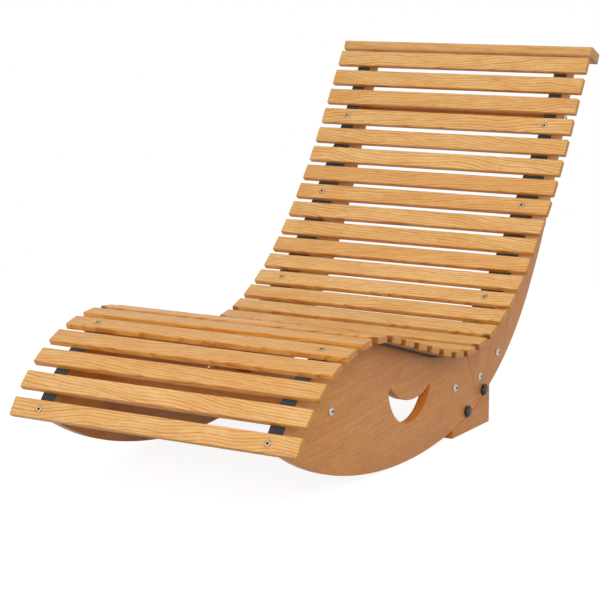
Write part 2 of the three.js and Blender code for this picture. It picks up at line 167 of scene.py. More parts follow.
class SmoothLine:
    """Straight and round stretches that join smoothly in side view. A run is a distance walked along it."""

    def __init__(self, start: Array, heading: float, ahead: Sequence[Stretch], behind: Sequence[Stretch]) -> None:
        """Lays the stretches end to end.

        Args:
            start: the point at run zero.
            heading: the direction walked there, in radians.
            ahead: stretches for positive runs.
            behind: stretches for negative runs, the nearest first.
        """
        rows = []
        point, turned, run = start, heading, 0.0
        for stretch in behind:
            point, turned = self.walk(point, turned, stretch.bend, -stretch.length)
            run -= stretch.length
            rows.insert(0, (run, *point, turned, stretch.bend))
        run = 0.0
        for stretch in ahead:
            rows.append((run, *start, heading, stretch.bend))
            start, heading = self.walk(start, heading, stretch.bend, stretch.length)
            run += stretch.length
        self.rows = np.array(rows, float)
        self.length = run

    @staticmethod
    def walk(start: Array, heading: Array | float, bend: Array | float,
             distance: Array | float) -> tuple[Array, Array]:
        """Places after a walk of constant bend.

        Formula: the turn is bend times distance, and the chord is the distance times sine of half the turn over
        half the turn, in the direction halfway through the turn.

        Args:
            start: starting points.
            heading: starting headings.
            bend: one over the radius.
            distance: how far to walk.

        Returns:
            The points reached and the headings there.
        """
        turn = np.asarray(bend * distance, float)
        chord = distance * np.sinc(turn / TURN)
        return start + np.asarray(chord)[..., None] * unit(heading + turn / 2), heading + turn

    def at(self, runs: Array | float) -> tuple[Array, Array]:
        """Points and headings at some runs.

        Formula: a walk from the start of the stretch that the run falls on.

        Args:
            runs: distances along the line.

        Returns:
            The points and the headings there.
        """
        runs = np.asarray(runs, float)
        row = self.rows[self.index(runs)]
        return self.walk(row[..., 1:3], row[..., 3], row[..., 4], runs - row[..., 0])

    def index(self, runs: Array) -> Array:
        """Which stretch each run falls on."""
        return np.clip(np.searchsorted(self.rows[:, 0], runs, "right") - 1, 0, len(self.rows) - 1)

    def bend_at(self, runs: Array) -> Array:
        """The line's bend at some runs."""
        return self.rows[self.index(np.asarray(runs, float)), 4]

    def beside(self, runs: Array | float, offset: float) -> Array:
        """Points at some runs, moved to the left of the way walked."""
        point, heading = self.at(runs)
        return point + offset * unit(heading + np.pi / 2)


def circle_crossing(centre_a: Array, radius_a: float, centre_b: Array, radius_b: float, side: int) -> Array:
    """Where two circles cross.

    Formula: the law of cosines gives the angle at the first centre between the way to the other centre and the
    way to the crossing.

    Args:
        centre_a: centre of the first circle.
        radius_a: its radius.
        centre_b: centre of the second circle.
        radius_b: its radius.
        side: 1 for the crossing on the left of the way between the centres, -1 for the right.

    Returns:
        The crossing point.
    """
    way = centre_b - centre_a
    gap = np.linalg.norm(way)
    share = (radius_a**2 - radius_b**2 + gap**2) / (2 * gap * radius_a)
    return centre_a + radius_a * unit(np.arctan2(way[1], way[0]) + side * np.arccos(share))


def quadratic(entry: Array, corner: Array, leave: Array, count: int) -> Array:
    """Quadratic curve under a corner.

    Formula: (1-t) squared times the entry, plus 2t(1-t) times the corner, plus t squared times the exit.

    Args:
        entry: the curve's first point.
        corner: the corner that it is drawn towards.
        leave: its last point.
        count: number of points.

    Returns:
        The points of the curve.
    """
    t = np.linspace(0, 1, count)[:, None]
    return (1 - t) ** 2 * entry + 2 * t * (1 - t) * corner + t**2 * leave


def grain_axes(angle: float) -> tuple[Array, Array]:
    """Directions along and across the grain of an upright board, from its angle off the level in degrees."""
    run, height = unit(np.radians(angle))
    return np.array([0.0, run, height]), np.array([0.0, -height, run])


def rounded_corner(before: Array, corner: Array, after: Array, radius: float, count: int = 9) -> Array:
    """Rounds a corner of an outline by a quadratic curve.

    Args:
        before: the outline's point before the corner.
        corner: the corner.
        after: the point after it.
        radius: how far from the corner the curve starts and ends.
        count: number of points.

    Returns:
        The points of the curve.
    """
    entry = corner + radius * (before - corner) / np.linalg.norm(before - corner)
    leave = corner + radius * (after - corner) / np.linalg.norm(after - corner)
    return quadratic(entry, corner, leave, count)


@dataclass
class Shell:
    """Points and faces of a piece as they are put together, in metres."""

    points: list[Array] = field(default_factory=list)
    faces: list[list[int]] = field(default_factory=list)
    count: int = 0

    def add_rings(self, rings: Array, caps: bool = True) -> int:
        """Adds a skin over rings of equal length, with a face on each end.

        Args:
            rings: points in the order ring, place on the ring, coordinate.
            caps: whether the first and last ring are closed by a face.

        Returns:
            The number of the first point added.
        """
        rows, columns = rings.shape[:2]
        first = self.count
        grid = first + np.arange(rows * columns).reshape(rows, columns)
        after = np.roll(grid, -1, 1)
        quads = np.stack([grid[:-1], after[:-1], after[1:], grid[1:]], -1).reshape(-1, 4)
        self.points.append(rings.reshape(-1, 3))
        self.faces.extend(quads.tolist())
        if caps:
            self.faces.append(grid[0, ::-1].tolist())
            self.faces.append(grid[-1].tolist())
        self.count += rows * columns
        return first

    def add_shell(self, other: "Shell") -> None:
        """Adds another shell's points and faces.

        Formula: its faces' numbers go up by the number of points that are here already.

        Args:
            other: the shell to add.
        """
        self.points.extend(other.points)
        self.faces.extend([[i + self.count for i in face] for face in other.faces])
        self.count += other.count


class Domain(Enum):
    """What an attribute of a mesh belongs to."""

    POINT = "POINT"
    FACE = "FACE"


def set_attribute(mesh: bpy.types.Mesh, name: str, domain: Domain, values: Array) -> None:
    """Writes one attribute of a mesh.

    Args:
        mesh: the mesh.
        name: the attribute's name.
        domain: whether it belongs to the points or the faces.
        values: a number or a row of three for each of them.
    """
    kind, part = ("FLOAT_VECTOR", "vector") if values.ndim > 1 else ("FLOAT", "value")
    layer = mesh.attributes.new(name, kind, domain.value)
    layer.data.foreach_set(part, np.ascontiguousarray(values, np.float32).ravel())


def make_piece(name: str, shell: Shell, material: bpy.types.Material,
               nodes: Sequence[str] = ()) -> bpy.types.Object:
    """Makes an object at the origin from a shell, smooth but for its sharp edges and its big flat faces.

    Args:
        name: the piece's name.
        shell: its points and faces.
        material: its finish.
        nodes: the frame's nodes that it stands for.

    Returns:
        The object, which rides on the lounge's one body.
    """
    mesh = bpy.data.meshes.new(name)
    mesh.from_pydata(np.concatenate(shell.points), [], shell.faces)
    work = bmesh.new()
    work.from_mesh(mesh)
    bmesh.ops.recalc_face_normals(work, faces=work.faces)
    work.to_mesh(mesh)
    work.free()
    corner_counts = np.empty(len(mesh.polygons), np.int32)
    mesh.polygons.foreach_get("loop_total", corner_counts)
    mesh.polygons.foreach_set("use_smooth", corner_counts <= MOST_SMOOTH_CORNERS)
    mesh.set_sharp_from_angle(angle=SHARP_ANGLE)
    mesh.materials.append(material)
    piece = bpy.data.objects.new(name, mesh)
    bpy.context.scene.collection.objects.link(piece)
    if nodes:
        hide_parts(*nodes)
    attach(piece, BODY)
    log.info("%s: %d faces", name, len(mesh.polygons))
    return piece


# Finishes


def linear(colour: Colour) -> tuple[float, float, float, float]:
    """Linear light from a colour written in the usual display numbers.

    Formula: the display's own curve, a straight foot under 0.04045 and a power of 2.4 above it.

    Args:
        colour: red, green and blue from 0 to 255.

    Returns:
        Linear red, green and blue, and full cover.
    """
    share = np.asarray(colour, float) / 255
    light = np.where(share <= 0.04045, share / 12.92, ((share + 0.055) / 1.055) ** 2.4)
    return (*light.tolist(), 1.0)


class Blend(Enum):
    """How a layer of colour goes over another."""

    COVER = "MIX"
    # Multiplies the colour below; it lays painted shade on edges and ends and in narrow gaps.
    SHADE_MULTIPLY = "MULTIPLY"


@dataclass(frozen=True)
class Relief:
    """How deep a bump of 1 is, in metres, and how strongly it tilts the surface."""

    height: float
    strength: float


class Graph:
    """A material's nodes, with a short call for each kind that the finishes use."""

    def __init__(self, name: str) -> None:
        """Starts a material with one principled shader.

        Args:
            name: the material's name.
        """
        self.material = bpy.data.materials.new(name)
        self.material.use_nodes = True
        self.tree = self.material.node_tree
        self.shader = self.tree.nodes["Principled BSDF"]

    def fill(self, node: bpy.types.Node, inputs: dict[str | int, object]) -> None:
        """Gives a node's inputs their values.

        Args:
            node: the node.
            inputs: by name or number, a value to set or another node's output to link.
        """
        for key, value in inputs.items():
            if isinstance(value, bpy.types.NodeSocket):
                self.tree.links.new(value, node.inputs[key])
            else:
                node.inputs[key].default_value = value

    def node(self, kind: str, inputs: dict[str | int, object] | None = None, **settings: object) -> bpy.types.Node:
        """Adds a node.

        Args:
            kind: the kind of node, as Blender names it.
            inputs: a value or another node's output for each input, by name or number.
            **settings: the node's options.

        Returns:
            The node.
        """
        made = self.tree.nodes.new(kind)
        for key, value in settings.items():
            setattr(made, key, value)
        self.fill(made, inputs or {})
        return made

    def attribute(self, name: str) -> bpy.types.Node:
        """Reads an attribute of the mesh."""
        return self.node("ShaderNodeAttribute", attribute_name=name)

    def maths(self, operation: str, *values: object) -> bpy.types.NodeSocket:
        """One sum on numbers."""
        return self.node("ShaderNodeMath", dict(enumerate(values)), operation=operation).outputs[0]

    def vector(self, operation: str, *values: object) -> bpy.types.NodeSocket:
        """One sum on vectors, giving a vector."""
        return self.node("ShaderNodeVectorMath", dict(enumerate(values)), operation=operation).outputs[0]

    def noise(self, vector: object, scale: float, detail: float = 2.0, roughness: float = 0.5) -> bpy.types.NodeSocket:
        """Smooth noise from 0 to 1 over a vector."""
        inputs = {"Vector": vector, "Scale": scale, "Detail": detail, "Roughness": roughness}
        return self.node("ShaderNodeTexNoise", inputs).outputs[0]

    def spread(self, value: object, low: float, high: float, to_low: float = 0.0,
               to_high: float = 1.0) -> bpy.types.NodeSocket:
        """Stretches a range onto another and holds the ends."""
        inputs = {0: value, 1: low, 2: high, 3: to_low, 4: to_high}
        return self.node("ShaderNodeMapRange", inputs, interpolation_type="SMOOTHSTEP").outputs[0]

    def mix(self, share: object, first: object, second: object, blend: Blend = Blend.COVER) -> bpy.types.NodeSocket:
        """Lays the second colour over the first by a share."""
        inputs = {0: share, 6: first, 7: second}
        return self.node("ShaderNodeMix", inputs, data_type="RGBA", blend_type=blend.value).outputs[2]

    def ramp(self, value: object, stops: Sequence[tuple[float, float]]) -> bpy.types.NodeSocket:
        """Grey ramp.

        Args:
            value: what is looked up.
            stops: places and levels, in order.

        Returns:
            The level at the value.
        """
        made = self.node("ShaderNodeValToRGB", {0: value})
        elements = made.color_ramp.elements
        while len(elements) < len(stops):
            elements.new(0.5)
        for element, (place, level) in zip(elements, stops):
            element.position = place
            element.color = (level, level, level, 1)
        return made.outputs[0]

    def finish(self, colour: object, roughness: object, bump: object, relief: Relief) -> bpy.types.Material:
        """Joins colour, roughness and bump to the shader.

        Args:
            colour: the base colour.
            roughness: the roughness.
            bump: the height of the bump, 0 to 1.
            relief: how deep the bump is.

        Returns:
            The material.
        """
        tilt = self.node("ShaderNodeBump", {"Height": bump, "Distance": relief.height, "Strength": relief.strength})
        self.fill(self.shader, {"Base Color": colour, "Roughness": roughness, "Normal": tilt.outputs[0]})
        return self.material


@dataclass(frozen=True)
class Sawing:
    """How boards of one kind were sawn from the log: the ranges from which each board gets its own cut.

    Depth, offset and start are metres. A slope is a share of the length along the grain.
    """

    pith_depth: Pair
    pith_offset: Pair
    depth_slope: Pair
    offset_slope: Pair
    tone: Pair = (-1.0, 1.0)
    log_start: Pair = (3, 60)

    def mark(self, piece: bpy.types.Object, along: Array, across: Array, seed: int, tone: float | None = None,
             gap: float = 0.0) -> None:
        """Writes where each point of a board lay in its log.

        Formula: with L, a and b the place along the grain, across the board and through it from the board's middle,
        the pith line is at offset plus slope times L across and depth plus slope times L through. The attribute holds
        a and b from the pith, and L moved by a length of the board's own. The edge share is one minus the face
        normal's part through the board, so it is 0 on the wide faces and 1 on edges and ends, where shade and orange
        bounce light are painted. The gap share is the face normal's part across the board, by how shut in the gap
        beside it is, and sets where shade is painted on the sides in narrow gaps.

        Args:
            piece: the board.
            along: direction of its grain.
            across: direction across its width.
            seed: the board's number, for its own cut.
            tone: the board's shade, or its own from the range.
            gap: how shut in the gap beside it is, from 0 to 1, which scales the shade painted on its sides.
        """
        mesh = piece.data
        points = np.empty(len(mesh.vertices) * 3)
        mesh.vertices.foreach_get("co", points)
        points = points.reshape(-1, 3)
        middle = (points.min(0) + points.max(0)) / 2
        through = np.cross(along, across)
        length, wide, deep = ((points - middle) @ np.stack([along, across, through], 1)).T
        dice = np.random.default_rng(seed)
        depth = dice.uniform(*self.pith_depth) * dice.choice([-1, 1])
        offset = dice.uniform(*self.pith_offset) * dice.choice([-1, 1])
        from_pith_wide = wide - offset - dice.uniform(*self.offset_slope) * dice.choice([-1, 1]) * length
        from_pith_deep = deep - depth - dice.uniform(*self.depth_slope) * dice.choice([-1, 1]) * length
        log_place = np.stack([from_pith_wide, from_pith_deep, length + dice.uniform(*self.log_start)], -1)
        set_attribute(mesh, "log_place", Domain.POINT, log_place)
        normals = np.empty(len(mesh.polygons) * 3)
        mesh.polygons.foreach_get("normal", normals)
        normals = normals.reshape(-1, 3)
        # Masks for painted shade: on edges and ends, and on the sides in narrow gaps.
        set_attribute(mesh, "edge_shade_share", Domain.FACE, 1 - np.abs(normals @ through))
        set_attribute(mesh, "gap_shade_share", Domain.FACE, np.abs(normals @ across) * gap)
        shade = dice.uniform(*self.tone) if tone is None else tone
        set_attribute(mesh, "tone", Domain.FACE, np.full(len(mesh.polygons), shade))


@dataclass(frozen=True)
class GrainNoise:
    """A noise in the wood, drawn out along the grain.

    The first number is the share of the length along the grain that the noise sees. The others are the noise's own.
    """

    along: float
    scale: float
    detail: float
    roughness: float = 0.5

    def over(self, graph: Graph, place: object) -> bpy.types.NodeSocket:
        """The noise over a place in the log."""
        drawn_out = graph.vector("MULTIPLY", place, (1.0, 1.0, self.along))
        return graph.noise(drawn_out, self.scale, self.detail, self.roughness)


@dataclass(frozen=True)
class WoodFinish:
    """Oiled hardwood whose growth rings are cut open by the board's faces.

    Sizes are metres. A range of two numbers is spread over 0 to 1, and one of four holds the new ends as well.
    """

    name: str
    slot: str
    pale: Colour
    deep: Colour
    line: Colour
    pore: Colour
    ring: float = 0.0060
    sway: float = 0.034
    ripple: float = 0.004
    line_share: float = 1.0
    streak_share: float = 0.36
    pore_share: float = 0.28
    # Painted shade: the edge tint darkens edges and ends towards orange as shade and bounce light, and the gap tint
    # darkens the sides in narrow gaps near the board's ends as shade.
    edge_shade_tint: Triple = (1.0, 0.80, 0.46)
    gap_shade_tint: Triple = (0.46, 0.32, 0.24)
    gap_shade_reach: Range = (0.279, 0.290)
    sway_noise: GrainNoise = GrainNoise(0.8, 8, 1.0)
    ripple_noise: GrainNoise = GrainNoise(0.28, 70, 2.0)
    break_noise: GrainNoise = GrainNoise(0.12, 260, 2.0, 0.6)
    streak_noise: GrainNoise = GrainNoise(0.15, 220, 3.0, 0.65)
    patch_noise: GrainNoise = GrainNoise(0.3, 30, 3.0, 0.6)
    fibre_noise: GrainNoise = GrainNoise(0.022, 900, 2.0, 0.7)
    pore_noise: GrainNoise = GrainNoise(0.04, 1150, 1.0)
    ring_profile: tuple[Range, ...] = ((0.0, 0.0), (0.4, 0.06), (0.64, 0.42), (0.8, 1.0), (0.92, 0.95), (1.0, 0.0))
    ring_step: float = 0.61
    ring_strength: Range = (0.3, 0.65, 0.35, 1.0)
    break_strength: Range = (0.3, 0.6, 0.55, 1.0)
    streak_range: Range = (0.42, 0.72)
    patch_range: Range = (0.25, 0.75)
    pore_range: Range = (0.66, 0.76)
    fibre_range: Range = (0.3, 0.7, 0.0, 0.45)
    gloss_range: Range = (0.2, 0.8, 0.34, 0.48)
    late_pores: float = 0.12
    tone_share: float = 0.16
    line_groove: float = 0.35
    fibre_ridge: float = 0.4
    specular: float = 0.2
    relief: Relief = Relief(0.00012, 0.55)

    def rings(self, graph: Graph, place: object) -> tuple[bpy.types.NodeSocket, bpy.types.NodeSocket]:
        """Late wood and the lines that it draws.

        Formula: the ring number is the distance from the pith plus a slow sway and a small ripple, over the ring's
        width. Within a ring the colour darkens slowly and then drops at the late wood's end. Each ring has a
        strength of its own, and a noise along the grain breaks its line.

        Args:
            graph: the material's nodes.
            place: the place in the log.

        Returns:
            The share of late wood and the share of the line.
        """
        flat = graph.vector("MULTIPLY", place, (1.0, 1.0, 0.0))
        radius = graph.node("ShaderNodeVectorMath", {0: flat}, operation="LENGTH").outputs["Value"]
        for noise, reach in ((self.sway_noise, self.sway), (self.ripple_noise, self.ripple)):
            swing = graph.maths("SUBTRACT", noise.over(graph, place), 0.5)
            radius = graph.maths("MULTIPLY_ADD", swing, reach, radius)
        number = graph.maths("DIVIDE", radius, self.ring)
        late = graph.ramp(graph.maths("FRACT", number), self.ring_profile)
        step = graph.node("ShaderNodeCombineXYZ", {0: graph.maths("MULTIPLY", number, self.ring_step)}).outputs[0]
        strength = graph.spread(graph.noise(step, 1.0, 1.0), *self.ring_strength)
        unbroken = graph.spread(self.break_noise.over(graph, place), *self.break_strength)
        drawn = graph.maths("MULTIPLY", late, graph.maths("MULTIPLY", strength, unbroken))
        return late, graph.maths("MULTIPLY", drawn, self.line_share)

    def painted_gap_shade(self, graph: Graph) -> bpy.types.NodeSocket:
        """How much painted shade a side in a shut-in gap gets, near the board's two ends only.

        Formula: the gap shade share times a smooth step of the distance from the lounge's middle.

        Args:
            graph: the material's nodes.

        Returns:
            The share of the painted shade.
        """
        place = graph.node("ShaderNodeTexCoord").outputs["Object"]
        across = graph.node("ShaderNodeSeparateXYZ", {0: place}).outputs["X"]
        near_end = graph.spread(graph.maths("ABSOLUTE", across), *self.gap_shade_reach)
        return graph.maths("MULTIPLY", graph.attribute("gap_shade_share").outputs["Fac"], near_end)

    def material(self) -> bpy.types.Material:
        """Builds the wood.

        Formula: pale and deep wood lie in slow patches, moved by the board's own tone. Streaks, ring lines, fine
        fibres and open pores cover them in turn by their shares. Painted shade darkens edges, ends and the sides in
        shut-in gaps, and orange bounce light is painted on edges and ends.

        Returns:
            The material.
        """
        graph = Graph(self.name)
        place = graph.attribute("log_place").outputs["Vector"]
        late, line = self.rings(graph, place)
        fibre = self.fibre_noise.over(graph, place)
        streak = graph.spread(self.streak_noise.over(graph, place), *self.streak_range)
        pore_bed = graph.maths("MULTIPLY_ADD", late, self.late_pores, self.pore_noise.over(graph, place))
        pore = graph.spread(pore_bed, *self.pore_range)
        tone = graph.attribute("tone").outputs["Fac"]
        depth = graph.maths("MULTIPLY_ADD", tone, self.tone_share, self.patch_noise.over(graph, place))
        colour = graph.mix(graph.spread(depth, *self.patch_range), linear(self.pale), linear(self.deep))
        layers = (
            (graph.maths("MULTIPLY", streak, self.streak_share), linear(self.line), Blend.COVER),
            (line, linear(self.line), Blend.COVER),
            (graph.spread(fibre, *self.fibre_range), linear(self.deep), Blend.COVER),
            (graph.maths("MULTIPLY", pore, self.pore_share), linear(self.pore), Blend.COVER),
            # Painted shade and orange bounce light on edges and ends, then painted shade on the sides in narrow gaps.
            (graph.attribute("edge_shade_share").outputs["Fac"], (*self.edge_shade_tint, 1.0), Blend.SHADE_MULTIPLY),
            (self.painted_gap_shade(graph), (*self.gap_shade_tint, 1.0), Blend.SHADE_MULTIPLY),
        )
        for share, layer, blend in layers:
            colour = graph.mix(share, colour, layer, blend)
        ridge = graph.maths("MULTIPLY", fibre, self.fibre_ridge)
        ridge = graph.maths("MULTIPLY_ADD", line, -self.line_groove, ridge)
        ridge = graph.maths("SUBTRACT", ridge, pore)
        graph.shader.inputs["Specular IOR Level"].default_value = self.specular
        return graph.finish(colour, graph.spread(fibre, *self.gloss_range), ridge, self.relief)


@dataclass(frozen=True)
class WebbingFinish:
    """Charcoal webbing of thick warp ribs with the weft showing between them, darker in its low places as painted
    shade.
    """

    name: str = "charcoal_webbing"
    slot: str = "strap_webbing"
    colour: Colour = (66, 68, 67)
    # Colour painted as shade in the weave's low places.
    hollow: Colour = (32, 33, 33)
    rib: float = 0.0021
    pick: float = 0.0013
    pick_share: float = 0.3
    fluff_scale: float = 700
    fluff_share: float = 0.3
    weave_share: float = 0.85
    gloss_range: Range = (0.0, 1.0, 0.95, 0.72)
    specular: float = 0.25
    sheen: float = 0.25
    relief: Relief = Relief(0.0003, 0.8)

    def material(self) -> bpy.types.Material:
        """Builds the weave.

        Formula: ribs are the sine of the place across, picks the sine of the place along with every second rib half a
        pick behind, and the surface is highest where both are. The colour darkens to the hollow colour where the
        surface is low, as painted shade in the weave, and a fluffy noise is laid over it.

        Returns:
            The material.
        """
        graph = Graph(self.name)
        place = graph.attribute("weave_place").outputs["Vector"]
        parts = graph.node("ShaderNodeSeparateXYZ", {0: place})
        along, across = parts.outputs[0], parts.outputs[1]
        ribs = graph.maths("DIVIDE", across, self.rib)
        half_ribs = graph.maths("DIVIDE", graph.maths("FLOOR", ribs), 2.0)
        phase = graph.maths("MULTIPLY", graph.maths("FRACT", half_ribs), TURN)
        picks = graph.maths("SINE", graph.maths("MULTIPLY_ADD", along, TURN / self.pick, phase))
        warp = graph.maths("ABSOLUTE", graph.maths("SINE", graph.maths("MULTIPLY", ribs, TURN / 2)))
        weft = graph.maths("MULTIPLY_ADD", picks, self.pick_share, 1 - self.pick_share)
        height = graph.maths("MULTIPLY", warp, weft)
        fluff = graph.noise(place, self.fluff_scale)
        # Painted shade: darker where the weave is low, with fluff noise as the webbing's own mottling.
        shade = graph.maths("MULTIPLY_ADD", fluff, self.fluff_share, graph.maths("MULTIPLY", height, self.weave_share))
        colour = graph.mix(shade, linear(self.hollow), linear(self.colour))
        graph.shader.inputs["Specular IOR Level"].default_value = self.specular
        graph.shader.inputs["Sheen Weight"].default_value = self.sheen
        return graph.finish(colour, graph.spread(height, *self.gloss_range), height, self.relief)


@dataclass(frozen=True)
class MetalFinish:
    """Turned metal with faint spots, plated bright or aged."""

    name: str
    slot: str
    bright: Colour
    dull: Colour
    roughness: float
    # Dark colour painted as shade in sockets and round a head's rim.
    recess_shade: Colour = (52, 46, 38)
    cloud_scale: float = 420
    cloud_range: Range = (0.38, 0.66)
    dull_roughness: float = 0.16
    scuff_scale: float = 2600
    scuff_stretch: Triple = (1.0, 0.3, 1.0)
    relief: Relief = Relief(0.00003, 0.3)

    def material(self) -> bpy.types.Material:
        """Builds the metal.

        Formula: the dull colour lies in cloudy noise, where the surface is rougher too, and a dark colour is painted as
        shade where the piece's points are marked, in sockets and round the rim.

        Returns:
            The material.
        """
        graph = Graph(self.name)
        place = graph.node("ShaderNodeTexCoord").outputs["Object"]
        cloud = graph.spread(graph.noise(place, self.cloud_scale, 4.0, 0.6), *self.cloud_range)
        scuff = graph.noise(graph.vector("MULTIPLY", place, self.scuff_stretch), self.scuff_scale)
        graph.shader.inputs["Metallic"].default_value = 1.0
        clouded = graph.mix(cloud, linear(self.bright), linear(self.dull))
        # Painted shade in sockets and round the rim.
        colour = graph.mix(graph.attribute("sunk").outputs["Fac"], clouded, linear(self.recess_shade))
        rough = graph.spread(cloud, 0.0, 1.0, self.roughness, self.roughness + self.dull_roughness)
        return graph.finish(colour, rough, scuff, self.relief)


@dataclass(frozen=True)
class CapFinish:
    """Moulded black plastic with a fine spark texture."""

    name: str = "black_cap"
    slot: str = "cap_black"
    colour: Colour = (30, 29, 29)
    worn: Colour = (52, 50, 48)
    wear_scale: float = 260
    wear_range: Range = (0.4, 0.75)
    gloss_range: Range = (0.0, 1.0, 0.26, 0.42)
    spark_scale: float = 3800
    relief: Relief = Relief(0.00004, 0.35)

    def material(self) -> bpy.types.Material:
        """Builds the plastic.

        Formula: fine grain is in the bump, and slow cloudy wear is in colour and gloss.

        Returns:
            The material.
        """
        graph = Graph(self.name)
        place = graph.node("ShaderNodeTexCoord").outputs["Object"]
        wear = graph.spread(graph.noise(place, self.wear_scale, 3.0), *self.wear_range)
        spark = graph.noise(place, self.spark_scale, 1.0)
        colour = graph.mix(wear, linear(self.colour), linear(self.worn))
        return graph.finish(colour, graph.spread(wear, *self.gloss_range), spark, self.relief)


# The lounge's lines and boards


@dataclass
class SideLines:
    """The two lines that everything is placed by: the underside that rocks and the lying surface.

    A pair is a radius and an angle in degrees, positive where the line bends to the left of the way walked.
    """

    rocker_radius: float = 1065
    rocker_front_angle: float = 14.8
    rocker_rear_angle: float = 10
    toe: Pair = (680, 30)
    heel: Pair = (557, 44.5)
    back_edge: Pair = (1292, 12.05)
    back_edge_straight: float = 246.2
    back_angle: float = 58.56
    head_run: float = 25.2
    shoulder_straight: float = 159.5
    upper_back: Pair = (1319, -13.72)
    lower_back: Pair = (567, -18.83)
    hip: Pair = (300.4, -42.6)
    thigh_straight: float = 223.4
    knee: Pair = (301.5, 80)
    cap_tilt: float = 24
    arm_top_width: float = 42.3
    strap_bed: float = 3.1
    outer_face: float = 250
    board_thickness: float = 20
    clearance: float = 0.3

    def __post_init__(self) -> None:
        """Walks both lines and finds the nose, where the boards' top edge meets the round underside."""
        ahead = [
            Stretch.round(self.rocker_radius, self.rocker_rear_angle),
            Stretch.round(*self.heel),
            Stretch.round(*self.back_edge),
            Stretch(self.back_edge_straight),
        ]
        behind = [Stretch.round(self.rocker_radius, self.rocker_front_angle), Stretch.round(*self.toe)]
        self.rocker = SmoothLine(np.zeros(2), 0.0, ahead, behind)
        rear, _ = self.rocker.at(self.rocker.length)
        self.arm_front = rear + self.arm_top_width * unit(np.pi - np.radians(self.cap_tilt))
        heading = np.pi + np.radians(self.back_angle)
        start = self.arm_front + self.strap_bed * unit(heading - np.pi / 2) + self.head_run * unit(heading)
        rounds = [Stretch.round(*self.upper_back), Stretch.round(*self.lower_back), Stretch.round(*self.hip)]
        ahead = [Stretch(self.shoulder_straight), *rounds, Stretch(self.thigh_straight), Stretch.round(*self.knee)]
        self.mat = SmoothLine(start, heading, ahead, [Stretch(self.head_run)])
        self.find_nose()

    @property
    def inner_face(self) -> float:
        """Place across of the boards' inner faces."""
        return self.outer_face - self.board_thickness

    def find_nose(self) -> None:
        """Crosses the knee's arc, lowered by the strap's bed, with the toe's arc, and keeps both runs.

        Formula: an arc's run at a point is its first run plus the angle turned to the point over the bend.
        """
        knee, toe = self.mat.rows[-1], self.rocker.rows[0]
        centres = [row[1:3] + unit(row[3] + np.pi / 2) / row[4] for row in (knee, toe)]
        radii = 1 / knee[4] - self.strap_bed, 1 / toe[4]
        crossings = [circle_crossing(centres[0], radii[0], centres[1], radii[1], side) for side in (1, -1)]
        self.nose = min(crossings, key=lambda point: point[0])
        runs = []
        for centre, row in zip(centres, (knee, toe)):
            spoke = self.nose - centre
            turned = (np.arctan2(spoke[1], spoke[0]) + np.pi / 2 - row[3]) % TURN
            runs.append(row[0] + turned / row[4])
        self.nose_mat_run, self.nose_rocker_run = runs

    def board_top(self, runs: Array | float) -> Array:
        """The boards' top edge, which the straps lie on."""
        return self.mat.beside(runs, self.strap_bed)


@dataclass
class Board:
    """A straight piece of wood with eased edges, in its own axes: across the lounge, along its width, through it."""

    width: float
    thickness: float
    half_length: float
    front_radius: float
    rear_radius: float
    end_easing: float
    corner_steps: int = 5
    end_steps: int = 3

    def section(self, inset: Array) -> Array:
        """Rounded rectangle, drawn in for each ring.

        Formula: each corner's arc keeps its centre while its radius shrinks by the inset.

        Args:
            inset: how far each ring is drawn in.

        Returns:
            Points in the order ring, place on the ring, width and thickness.
        """
        front, rear = self.front_radius, self.rear_radius
        half, high = self.width / 2, self.thickness
        corners = [(half - rear, high - rear, rear, 0), (front - half, high - front, front, 1)]
        corners += [(front - half, front, front, 2), (half - rear, rear, rear, 3)]
        arcs = []
        for x, y, radius, quarter in corners:
            angle = np.pi / 2 * (quarter + np.linspace(0, 1, self.corner_steps + 1))
            arcs.append(np.array([x, y]) + (radius - inset)[:, None, None] * unit(angle))
        return np.concatenate(arcs, 1)

    def shell(self, base: Array, tilt: float, lift: float = 0.0) -> Shell:
        """The board in the frame.

        Formula: rings of the section stand across the lounge, drawn in at both ends by a quarter circle, and are
        turned by the tilt about the base.

        Args:
            base: side-view point under the middle of the board's width.
            tilt: angle of the width's direction, in radians.
            lift: how far the board's underside is above the base.

        Returns:
            The shell in metres.
        """
        shares, depths = arris_steps(self.end_easing, self.end_steps)
        inset = np.concatenate([shares, shares[::-1]]) * self.end_easing
        across = np.concatenate([depths - self.half_length, (self.half_length - depths)[::-1]])
        section = self.section(inset)
        flat = base + section[..., :1] * unit(tilt) + (section[..., 1:] + lift) * unit(tilt + np.pi / 2)
        shell = Shell()
        shell.add_rings(to_world(flat, across[:, None]))
        return shell


